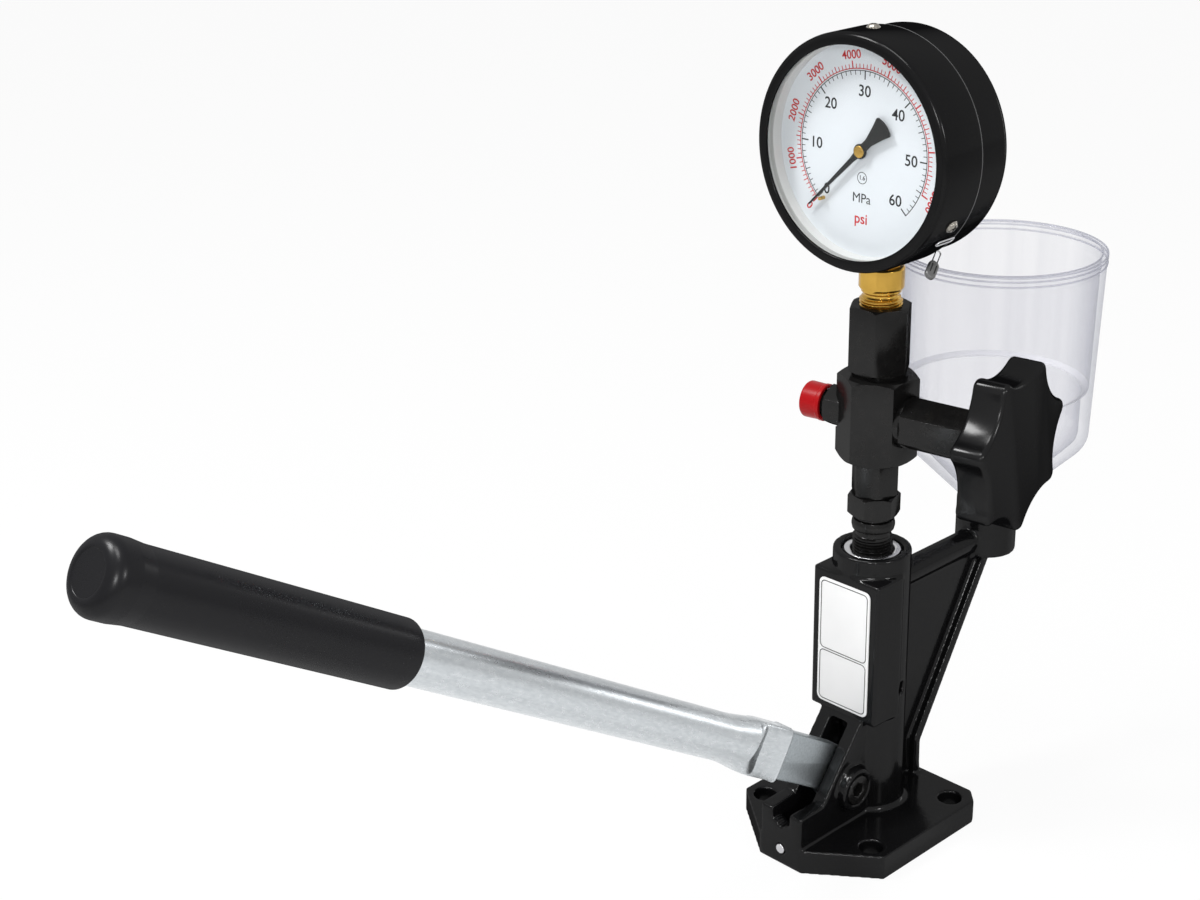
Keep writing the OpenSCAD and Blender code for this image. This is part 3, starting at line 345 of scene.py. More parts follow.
class Look(Enum):
    """Every finish on the tester."""

    CAST_PAINT = Finish("cast_paint", (0.003, 0.003, 0.0033), (0.006, 0.006, 0.0063), gloss=(0.09, 0.20),
                        patch=60.0, grain=420.0, relief=0.06, hood=1.15, shine=0.24)
    CASE_PAINT = Finish("case_paint", (0.003, 0.003, 0.0033), (0.005, 0.005, 0.0053), gloss=(0.12, 0.20),
                        patch=70.0, grain=1500.0, relief=0.015, hood=1.3, shine=0.16)
    # Lighter grey than the paint, for the line where the bezel ends on the case.
    WORN_EDGE = Finish("skirt_edge_grey", (0.060, 0.060, 0.062), (0.035, 0.035, 0.036), gloss=(0.25, 0.40),
                       patch=160.0, grain=1200.0, relief=0.02, shine=0.4)
    BLACK_STEEL = Finish("black_steel", (0.003, 0.003, 0.0033), (0.011, 0.0105, 0.010), gloss=(0.10, 0.26),
                         patch=300.0, grain=1100.0, relief=0.02, hood=1.1, shine=0.30)
    BRIGHT_STEEL = Finish("bright_steel", (0.62, 0.62, 0.63), (0.48, 0.48, 0.50), metallic=1.0,
                          gloss=(0.18, 0.32), patch=220.0, grain=2400.0, relief=0.01)
    SCREW_STEEL = Finish("screw_steel", (0.50, 0.47, 0.42), (0.16, 0.15, 0.13), metallic=1.0,
                         gloss=(0.16, 0.30), patch=700.0, grain=2400.0, relief=0.02)
    ZINC = Finish("zinc", (0.70, 0.73, 0.745), (0.45, 0.48, 0.505), metallic=1.0, gloss=(0.20, 0.38),
                  patch=760.0, grain=900.0, relief=0.010, stretch=(1.0, 3.0, 1.0), tilt=LEVER_TILT)
    DULL_ZINC = Finish("dull_zinc", (0.52, 0.56, 0.58), (0.25, 0.28, 0.30), metallic=1.0, gloss=(0.30, 0.46),
                       patch=900.0, grain=1000.0, relief=0.06)
    SPRING_STEEL = Finish("spring_steel", (0.30, 0.30, 0.31), (0.18, 0.18, 0.19), metallic=1.0,
                          gloss=(0.3, 0.45))
    BRASS = Finish("brass", (0.66, 0.41, 0.085), (0.46, 0.27, 0.05), metallic=1.0, gloss=(0.16, 0.30),
                   patch=120.0, grain=1800.0, relief=0.02)
    COPPER = Finish("copper", (0.70, 0.34, 0.18), (0.52, 0.24, 0.13), metallic=1.0, gloss=(0.3, 0.45))
    RUBBER = Finish("rubber", (0.0035, 0.0035, 0.0048), (0.006, 0.006, 0.0075), gloss=(0.24, 0.32),
                    patch=25.0, grain=1300.0, relief=0.008, hood=0.95, shine=0.26)
    KNOB_PLASTIC = Finish("knob_plastic", (0.003, 0.003, 0.0033), (0.005, 0.005, 0.0053), gloss=(0.15, 0.23),
                          patch=35.0, grain=700.0, relief=0.02, hood=1.45, shine=0.28)
    CAP_PLASTIC = Finish("cap_plastic", (0.40, 0.004, 0.007), (0.32, 0.003, 0.005), gloss=(0.28, 0.38),
                         patch=90.0, grain=1200.0, relief=0.03, shine=0.14)
    # The cup's tint is streaked up and down its wall: painted reflections.
    CLEAR_PLASTIC = Clear("clear_plastic", (0.80, 0.81, 0.84), (0.72, 0.73, 0.76), gloss=(0.04, 0.09),
                          patch=75.0, grain=140.0, relief=0.05, stretch=(1.0, 1.0, 30.0),
                          pane=(0.956, 0.956, 0.966), rim=(0.66, 0.665, 0.71), veil=0.025, edge=0.36,
                          sharpness=2.6, waves=0.55)
    # Darker, less clear copy of the cup's plastic for the rim beads: painted shade lines.
    CLEAR_BEAD = Clear("bead_painted_shade", (0.80, 0.81, 0.85), (0.70, 0.71, 0.75), gloss=(0.05, 0.10), patch=60.0,
                       grain=140.0, relief=0.0, pane=(0.90, 0.90, 0.925), rim=(0.50, 0.51, 0.58), veil=0.10,
                       edge=0.35, sharpness=1.6)
    # Whiter, milkier copy of the cup's plastic for the ledge: a painted highlight.
    CLEAR_LEDGE = Clear("ledge_painted_highlight", (0.97, 0.97, 0.98), (0.92, 0.92, 0.94), gloss=(0.12, 0.25), patch=90.0,
                        grain=300.0, relief=0.05, pane=(0.96, 0.96, 0.97), rim=(0.90, 0.90, 0.93), veil=0.55,
                        edge=0.25, sharpness=1.6)
    GLASS = Clear("window_glass", (0.9, 0.92, 0.92), (0.8, 0.82, 0.82), gloss=(0.02, 0.04), patch=10.0,
                  grain=40.0, relief=0.0, pane=(0.985, 0.99, 0.99), rim=(0.93, 0.95, 0.95), veil=0.015,
                  edge=0.3, sharpness=5.0)
    DIAL_PAINT = Finish("dial_paint", (0.80, 0.83, 0.87), (0.77, 0.80, 0.84), gloss=(0.35, 0.45), patch=30.0,
                        grain=1600.0, relief=0.01)
    RING_PAINT = Finish("ring_paint", (0.66, 0.66, 0.65), (0.60, 0.60, 0.59), gloss=(0.35, 0.45), patch=40.0,
                        grain=1600.0, relief=0.01)
    BLACK_INK = Finish("black_ink", (0.010, 0.010, 0.012), (0.018, 0.018, 0.020), gloss=(0.4, 0.5),
                       patch=400.0, shine=0.2)
    RED_INK = Finish("red_ink", (0.62, 0.016, 0.020), (0.54, 0.012, 0.016), gloss=(0.4, 0.5), patch=400.0,
                     shine=0.2)
    POINTER_PAINT = Finish("pointer_paint", (0.006, 0.006, 0.006), (0.010, 0.010, 0.010), gloss=(0.35, 0.48),
                           patch=200.0, grain=2000.0, relief=0.02, shine=0.2)
    LABEL = Finish("label_film", (0.84, 0.84, 0.84), (0.80, 0.80, 0.80), gloss=(0.38, 0.48), patch=60.0,
                   grain=900.0)
    LEAD = Finish("lead", (0.20, 0.20, 0.20), (0.11, 0.11, 0.11), metallic=0.8, gloss=(0.34, 0.55),
                  patch=500.0, grain=1500.0, relief=0.12)


SLOT_LOOKS = {
    "black_paint": Look.CAST_PAINT, "black_steel": Look.BLACK_STEEL, "bright_steel": Look.BRIGHT_STEEL,
    "zinc": Look.ZINC, "spring_steel": Look.SPRING_STEEL, "brass": Look.BRASS, "copper": Look.COPPER,
    "rubber": Look.RUBBER, "knob_plastic": Look.KNOB_PLASTIC, "cap_plastic": Look.CAP_PLASTIC,
    "clear_plastic": Look.CLEAR_PLASTIC, "glass": Look.GLASS, "dial_paint": Look.DIAL_PAINT,
    "pointer_paint": Look.POINTER_PAINT, "label": Look.LABEL, "lead": Look.LEAD,
}


# Shapes, in millimetres


def rounded(corners: Sequence[Corner], steps: int = 5) -> list[Vector]:
    """Round the corners of a closed outline.

    Args:
        corners: Points (across, along) with a third number where the corner has a radius.
        steps: Straight pieces to a corner.

    Returns:
        The points of the outline.
    """
    spots = [Vector(c[:2]) for c in corners]
    points = []
    for i, corner in enumerate(corners):
        here = spots[i]
        if len(corner) < 3 or corner[2] <= 0:
            points.append(here)
            continue
        back, ahead = spots[i - 1] - here, spots[(i + 1) % len(spots)] - here
        half = back.angle(ahead) / 2
        run = min(corner[2] / math.tan(half), back.length * 0.49, ahead.length * 0.49)
        middle = here + (back.normalized() + ahead.normalized()).normalized() * (run / math.cos(half))
        first, last = here + back.normalized() * run - middle, here + ahead.normalized() * run - middle
        sweep = math.pi - 2 * half
        for k in range(steps + 1):
            t = k / steps
            turned = first * math.sin((1 - t) * sweep) + last * math.sin(t * sweep)
            points.append(middle + turned / math.sin(sweep))
    return points


def rectangle(low: Pair, high: Pair, round_r: float = 0.0) -> list[Corner]:
    """Corners of an upright rectangle.

    Args:
        low: Its lowest corner.
        high: Its highest corner.
        round_r: Radius of every corner.

    Returns:
        The corners, for rounded.
    """
    (left, foot), (right, head) = low, high
    return [(left, foot, round_r), (right, foot, round_r), (right, head, round_r), (left, head, round_r)]


class Shape:
    """A mesh being worked on, in millimetres."""

    wound_steps: int = 48
    wire_sides: int = 16
    link_sides: int = 26
    merge: float = 1e-4
    node_merge: float = 0.002
    flat_angle: float = 0.6

    def __init__(self) -> None:
        """Start empty."""
        self.bm = bmesh.new()

    @classmethod
    def turned(cls, corners: Sequence[Corner], steps: int = 96) -> "Shape":
        """Turn a closed outline round the Z axis.

        Args:
            corners: Points (radius, height) with an optional corner radius.
            steps: Facets to the turn.

        Returns:
            The turned shape.
        """
        shape = cls()
        verts = [shape.bm.verts.new((p.x, 0.0, p.y)) for p in rounded(corners)]
        edges = [shape.bm.edges.new(pair) for pair in zip(verts, verts[1:] + verts[:1])]
        bmesh.ops.spin(shape.bm, geom=verts + edges, cent=(0, 0, 0), axis=(0, 0, 1), dvec=(0, 0, 0),
                       angle=math.tau, steps=steps, use_merge=True)
        return shape.clean()

    @classmethod
    def thread(cls, crest: float, depth: float, pitch: float, low: float, high: float) -> "Shape":
        """Run a screw ridge round the Z axis.

        Args:
            crest: Radius at the crest.
            depth: Height of the ridge.
            pitch: Rise to the turn.
            low: Where the ridge starts.
            high: Where it ends.

        Returns:
            The ridge.
        """
        foot, flank, tip = 0.46 * pitch, 0.40 * pitch, 0.06 * pitch
        root = crest - depth
        sunk = root - 0.3
        section = [(sunk, -foot), (root, -flank), (crest, -tip), (crest, tip), (root, flank), (sunk, foot)]
        return cls.wound(section, low + foot, high - low - 2 * foot, pitch)

    @classmethod
    def coil(cls, radius: float, wire: float, turns: float, low: float, high: float) -> "Shape":
        """Wind a spring of round wire round the Z axis.

        Args:
            radius: Radius to the middle of the wire.
            wire: Radius of the wire.
            turns: Number of turns.
            low: Height of its lowest point.
            high: Height of its highest point.

        Returns:
            The spring.
        """
        angles = [math.tau * k / cls.wire_sides for k in range(cls.wire_sides)]
        section = [(radius + wire * math.cos(a), wire * math.sin(a)) for a in angles]
        rise = high - low - 2 * wire
        return cls.wound(section, low + wire, rise, rise / turns)

    @classmethod
    def wound(cls, section: Sequence[Pair], start: float, rise: float,
              pitch: float) -> "Shape":
        """Sweep a closed section up a screw line round the Z axis.

        Args:
            section: Points of the section, as radius and height.
            start: Height of the section's zero at the start.
            rise: How far the section climbs in all.
            pitch: Rise to the turn.

        Returns:
            The swept form with both ends closed.
        """
        shape = cls()
        verts = [shape.bm.verts.new((x, 0.0, z + start)) for x, z in section]
        edges = [shape.bm.edges.new(pair) for pair in zip(verts, verts[1:] + verts[:1])]
        turns = rise / pitch
        steps = max(8, round(turns * cls.wound_steps))
        shape.bm.faces.new(verts)
        swept = bmesh.ops.spin(shape.bm, geom=verts + edges, cent=(0, 0, 0), axis=(0, 0, 1),
                               dvec=(0, 0, rise / steps), angle=math.tau * turns, steps=steps)
        shape.bm.faces.new([g for g in swept["geom_last"] if isinstance(g, bmesh.types.BMVert)])
        return shape.clean()

    @classmethod
    def ring(cls, radius: float, height: float, wire: float, steps: int) -> "Shape":
        """A round wire ring about the Z axis.

        Args:
            radius: Radius to the middle of the wire.
            height: Height of its middle.
            wire: Radius of the wire.
            steps: Facets to the turn.

        Returns:
            The ring.
        """
        low, high = (radius - wire, height - wire), (radius + wire, height + wire)
        return cls.turned(rectangle(low, high, wire), steps)

    @classmethod
    def link(cls, wide: float, long: float, wire: float) -> "Shape":
        """A long wire loop lying flat, stretched along X.

        Args:
            wide: Width to the middle of the wire.
            long: Length to the middle of the wire.
            wire: Radius of the wire.

        Returns:
            The loop.
        """
        loop = cls.ring(wide / 2, 0.0, wire, cls.link_sides)
        for v in loop.bm.verts:
            v.co.x += math.copysign((long - wide) / 2, v.co.x)
        return loop

    @classmethod
    def slab(cls, corners: Sequence[Corner], thick: float, steps: int = 5) -> "Shape":
        """Thicken a flat closed outline upward from Z = 0.

        Args:
            corners: Points (x, y) with an optional corner radius.
            thick: Height of the slab.
            steps: Straight pieces to a corner.

        Returns:
            The slab.
        """
        shape = cls()
        shape.bm.faces.new([shape.bm.verts.new((p.x, p.y, 0.0)) for p in rounded(corners, steps)])
        return shape.thicken(thick)

    @classmethod
    def box(cls, size: Corner, middle: Corner = (0.0, 0.0, 0.0)) -> "Shape":
        """A plain cutter block.

        Args:
            size: Size along each axis.
            middle: Its centre.

        Returns:
            The block.
        """
        shape = cls()
        spread = shift(*middle) @ Matrix.Diagonal((*size, 1.0))
        bmesh.ops.create_cube(shape.bm, size=1.0, matrix=spread)
        return shape

    @classmethod
    def rod(cls, radius: float, length: float, sides: int = 48) -> "Shape":
        """A plain cutter rod standing on Z = 0.

        Args:
            radius: Its radius.
            length: Its length.
            sides: Its facets.

        Returns:
            The rod.
        """
        shape = cls()
        bmesh.ops.create_cone(shape.bm, cap_ends=True, segments=sides, radius1=radius, radius2=radius,
                              depth=length, matrix=shift(z=length / 2))
        return shape

    @classmethod
    def of_node(cls, node: str) -> "Shape":
        """A merged copy of a CAD node.

        Args:
            node: Name of the node.

        Returns:
            The copy, in millimetres.
        """
        shape = cls()
        shape.bm.from_mesh(frame["nodes"][node].data)
        bmesh.ops.scale(shape.bm, verts=shape.bm.verts, vec=(1 / MM,) * 3)
        bmesh.ops.remove_doubles(shape.bm, verts=shape.bm.verts, dist=cls.node_merge)
        return shape

    def clean(self) -> "Shape":
        """Merge doubles, drop loose edges and turn the faces outward.

        Returns:
            This shape.
        """
        bmesh.ops.remove_doubles(self.bm, verts=self.bm.verts, dist=self.merge)
        bmesh.ops.dissolve_degenerate(self.bm, edges=self.bm.edges, dist=self.merge / 10)
        bare = [e for e in self.bm.edges if not e.link_faces]
        bmesh.ops.delete(self.bm, geom=bare, context="EDGES")
        bmesh.ops.recalc_face_normals(self.bm, faces=self.bm.faces)
        return self

    def soften(self, width: float, segments: int = 2, sharp: float = 28.0,
               only: Callable[[Vector], bool] | None = None) -> "Shape":
        """Round the sharp edges.

        Args:
            width: How far back from the edge.
            segments: Facets of the round.
            sharp: Angle in degrees above which an edge is sharp.
            only: Test on an edge's middle, to round just some.

        Returns:
            This shape.
        """
        bmesh.ops.dissolve_limit(self.bm, angle_limit=math.radians(self.flat_angle), verts=self.bm.verts,
                                 edges=self.bm.edges)
        limit = math.radians(sharp)
        edges = [e for e in self.bm.edges if len(e.link_faces) == 2 and e.calc_face_angle(0.0) > limit
                 and (only is None or only((e.verts[0].co + e.verts[1].co) / 2))]
        return self.bevel(edges, width, segments)

    def bevel(self, edges: list[bmesh.types.BMEdge], width: float, segments: int) -> "Shape":
        """Round the given edges.

        Args:
            edges: Edges of this shape.
            width: How far back from the edge.
            segments: Facets of the round.

        Returns:
            This shape.
        """
        bmesh.ops.bevel(self.bm, geom=edges, offset=width, offset_type="OFFSET", segments=segments,
                        profile=0.5, affect="EDGES", clamp_overlap=True, material=-1)
        return self

    def thicken(self, thick: float) -> "Shape":
        """Raise flat faces into a solid.

        Args:
            thick: How far up.

        Returns:
            This shape.
        """
        raised = bmesh.ops.extrude_face_region(self.bm, geom=self.bm.faces[:], use_keep_orig=True)
        tops = [g for g in raised["geom"] if isinstance(g, bmesh.types.BMVert)]
        bmesh.ops.translate(self.bm, verts=tops, vec=(0, 0, thick))
        return self.clean()

    def trim(self, spot: Corner, outward: Corner) -> "Shape":
        """Take away what lies past a plane and close the cut.

        Args:
            spot: A point of the plane.
            outward: Which way the part lies that goes.

        Returns:
            This shape.
        """
        bmesh.ops.bisect_plane(self.bm, geom=[*self.bm.verts, *self.bm.edges, *self.bm.faces],
                               plane_co=spot, plane_no=outward, clear_outer=True)
        bmesh.ops.holes_fill(self.bm, edges=[e for e in self.bm.edges if e.is_boundary], sides=0)
        return self

    def place(self, matrix: Matrix) -> "Shape":
        """Move the shape by a matrix."""
        bmesh.ops.transform(self.bm, matrix=matrix, verts=self.bm.verts)
        return self

    def add(self, *others: "Shape") -> "Shape":
        """Take other shapes into this one.

        Args:
            others: The shapes to take in.

        Returns:
            This shape.
        """
        for other in others:
            carrier = bpy.data.meshes.new("carrier")
            other.bm.to_mesh(carrier)
            self.bm.from_mesh(carrier)
            bpy.data.meshes.remove(carrier)
        return self

    def _through(self, fit: Callable[[bpy.types.Object], list[bpy.types.Object]]) -> "Shape":
        """Pass the shape through modifiers.

        Args:
            fit: Puts the modifiers on a stand-in object and returns its helpers.

        Returns:
            This shape, as the modifiers leave it.
        """
        stand_in = bpy.data.objects.new("stand_in", self.mesh("stand_in", 1.0))
        bpy.context.scene.collection.objects.link(stand_in)
        helpers = fit(stand_in)
        graph = bpy.context.evaluated_depsgraph_get()
        made = bpy.data.meshes.new_from_object(stand_in.evaluated_get(graph))
        self.bm.clear()
        self.bm.from_mesh(made)
        bpy.data.meshes.remove(made)
        for item in [stand_in, *helpers]:
            mesh = item.data
            bpy.data.objects.remove(item)
            bpy.data.meshes.remove(mesh)
        return self

    def cut(self, *cutters: "Shape") -> "Shape":
        """Take other shapes out of this one.

        Args:
            cutters: The shapes to take out.

        Returns:
            This shape.
        """
        def fit(stand_in: bpy.types.Object) -> list[bpy.types.Object]:
            """Put on one difference per cutter.

            Args:
                stand_in: Object that takes the modifiers.

            Returns:
                The cutter objects.
            """
            tools = []
            for cutter in cutters:
                tool = bpy.data.objects.new("cutter", cutter.mesh("cutter", 1.0))
                bpy.context.scene.collection.objects.link(tool)
                step = stand_in.modifiers.new("cut", "BOOLEAN")
                step.operation, step.solver, step.object = "DIFFERENCE", "EXACT", tool
                tools.append(tool)
            return tools
        return self._through(fit)

    def cast(self, grid: float, passes: int, keep: float = 1.0) -> "Shape":
        """Run all solids together and soften them as a casting.

        Args:
            grid: Cell size of the new skin.
            passes: Rounds of smoothing.
            keep: Share of the faces to keep.

        Returns:
            This shape.
        """
        def skin(stand_in: bpy.types.Object) -> list[bpy.types.Object]:
            """Lay one skin over the whole.

            Args:
                stand_in: Object that takes the modifier.

            Returns:
                No helpers.
            """
            step = stand_in.modifiers.new("skin", "REMESH")
            step.mode, step.voxel_size, step.adaptivity = "VOXEL", grid, 0.0
            return []

        def thin(stand_in: bpy.types.Object) -> list[bpy.types.Object]:
            """Leave fewer faces where the skin is plain.

            Args:
                stand_in: Object that takes the modifier.

            Returns:
                No helpers.
            """
            step = stand_in.modifiers.new("thin", "DECIMATE")
            step.ratio = keep
            return []

        self._through(skin)
        for _ in range(passes):
            bmesh.ops.smooth_vert(self.bm, verts=self.bm.verts, factor=0.5, use_axis_x=True, use_axis_y=True,
                                  use_axis_z=True)
        return self if keep == 1.0 else self._through(thin)

    def mesh(self, name: str, scale: float = MM) -> bpy.types.Mesh:
        """Write the shape out as a mesh.

        Args:
            name: Name of the mesh.
            scale: Metres to the unit.

        Returns:
            The mesh.
        """
        data = bpy.data.meshes.new(name)
        self.bm.to_mesh(data)
        data.transform(Matrix.Scale(scale, 4))
        return data


class Bench:
    """Turns shapes into named, finished pieces of the tester."""

    def __init__(self) -> None:
        """Start with no finishes mixed."""
        self.mixed: dict[str, bpy.types.Material] = {}

    def paint(self, look: Look) -> bpy.types.Material:
        """The material of a finish, mixed once.

        Args:
            look: The finish.

        Returns:
            Its material.
        """
        if look.name not in self.mixed:
            self.mixed[look.name] = look.value.build()
        return self.mixed[look.name]

    def piece(self, name: str, shape: Shape, look: Look, body: str = "frame", nodes: Sequence[str] = (),
              sharp: float = 34.0) -> bpy.types.Object:
        """Make a finished piece.

        Args:
            name: Name of the piece.
            shape: Its shape.
            look: Its finish.
            body: Body that it rides on.
            nodes: CAD nodes that it stands for.
            sharp: Angle in degrees above which an edge is shown sharp.

        Returns:
            The object.
        """
        mesh = shape.mesh(name)
        mesh.shade_smooth()
        mesh.set_sharp_from_angle(angle=math.radians(sharp))
        mesh.materials.append(self.paint(look))
        thing = bpy.data.objects.new(name, mesh)
        bpy.context.scene.collection.objects.link(thing)
        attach(thing, body)
        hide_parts(*nodes)
        log.info("%s: %d faces on %s", name, len(mesh.polygons), body)
        return thing

    def softened(self, name: str, node: str, look: Look, edge: tuple[float, int] = (0.3, 2),
                 sharp: float = 28.0, body: str = "frame") -> None:
        """Make a piece from a CAD node with its edges rounded.

        Args:
            name: Name of the piece.
            node: The node, which the piece stands for.
            look: Its finish.
            edge: Width and facets of the round.
            sharp: Angle in degrees above which an edge is sharp.
            body: Body that it rides on.
        """
        shape = Shape.of_node(node).soften(*edge, sharp)
        self.piece(name, shape, look, body, [node])

    def dress_rest(self) -> None:
        """Give every CAD node still shown the finish of its slot."""
        for part in frame["record"]["subparts"]:
            thing = frame["nodes"][part["node"]]
            thing.data.materials.clear()
            thing.data.materials.append(self.paint(SLOT_LOOKS[part["material_slot"]]))


# Sub-assemblies


@dataclass
class Casting:
    """The painted pump body with its label, bolt and plugs."""

    grid: float = 0.85
    passes: int = 3
    keep: float = 0.5
    tower_r: float = 18.0
    base_top: float = 12.0
    fillet: float = 5.0
    fillet_sunk: float = 3.0
    slot_half: float = 5.3
    label_size: Pair = (29.6, 63.6)
    label_spot: Triple = (0.0, -13.5, 97.25)
    label_round: float = 3.0
    label_split: float = 0.57
    label_thick: float = 0.74
    label_edge: float = 0.25
    line_in: float = 1.2
    line_gap: float = 0.8
    line_round: float = 2.4
    line_wide: float = 0.4
    line_high: float = 0.05
    bead_spot: Triple = (0.0, -56.0, 8.0)
    bead_r: float = 2.45
    bead_deep: float = 5.6
    bead_set_in: float = 0.4

    def foot_fillet(self) -> list[Shape]:
        """The round where the tower meets the base.

        Returns:
            One half on each side of the slot.
        """
        r, z, f = self.tower_r, self.base_top, self.fillet
        inside, outside, below, above = r - self.fillet_sunk, r + f + 1, z - 1, z + f + 1
        halves = []
        for side in (1.0, -1.0):
            half = Shape.turned([(inside, below), (outside, below), (outside, z), (r + 0.01, z, f),
                                 (r, above), (inside, above)])
            half.trim((side * self.slot_half, 0, 0), (-side, 0, 0))
            halves.append(half.clean().place(TOWER))
        return halves

    def frame_line(self, low: float, high: float) -> Shape:
        """A thin printed frame on the label.

        Args:
            low: Lower edge, from the middle of the label.
            high: Upper edge.

        Returns:
            The frame.
        """
        half, ink = self.label_size[0] / 2 - self.line_in, self.line_high

        def panel(back: float, thick: float) -> Shape:
            """A round-cornered panel, set back from the frame.

            Args:
                back: How far back.
                thick: Its thickness.

            Returns:
                The panel.
            """
            foot, head = (back - half, low + back), (half - back, high - back)
            return Shape.slab(rectangle(foot, head, self.line_round - back), thick)

        inside = panel(self.line_wide, 3 * ink).place(shift(z=-ink))
        return panel(0.0, ink).cut(inside)

    def label(self, bench: Bench) -> None:
        """Make the blank label with its two frame lines.

        Args:
            bench: Bench that finishes them.
        """
        wide, tall = (size / 2 for size in self.label_size)
        stand = shift(*self.label_spot) @ rotation(90.0, "X")
        film = Shape.slab(rectangle((-wide, -tall), (wide, tall), self.label_round), self.label_thick)
        film.soften(self.label_edge, 2).place(stand)
        bench.piece("label_film", film, Look.LABEL, nodes=["label_plate"])
        split = -tall + 2 * tall * (1 - self.label_split)
        lines = self.frame_line(-tall + self.line_in, split - self.line_gap / 2)
        lines.add(self.frame_line(split + self.line_gap / 2, tall - self.line_in))
        bench.piece("label_lines", lines.place(stand @ shift(z=self.label_thick)), Look.BLACK_INK)

    def bead(self) -> Shape:
        """The domed plug in the front edge of the base.

        Returns:
            The plug.
        """
        r, deep = self.bead_r, self.bead_deep
        dome = Shape.turned([(0, -deep), (r, -deep), (r, 0.3, 0.6), (0, 0.85)], 32)
        return dome.place(shift(*self.bead_spot) @ rotation(90.0, "X") @ shift(z=-self.bead_set_in))

    def build(self, bench: Bench) -> None:
        """Make the pieces of the casting.

        Args:
            bench: Bench that finishes them.
        """
        body = Shape.of_node("pump_body").add(*self.foot_fillet())
        body.cast(self.grid, self.passes, self.keep)
        bench.piece("pump_body_cast", body, Look.CAST_PAINT, nodes=["pump_body"],
                    sharp=60.0)
        self.label(bench)
        bench.softened("pivot_screw", "pivot_bolt", Look.BLACK_STEEL, (0.45, 3))
        bench.softened("pivot_locknut", "pivot_nut", Look.BLACK_STEEL, (0.4, 2))
        bench.piece("front_bead", self.bead(), Look.BRIGHT_STEEL, nodes=["front_plug"])
        bench.softened("gallery_screw", "gallery_plug", Look.BLACK_STEEL)


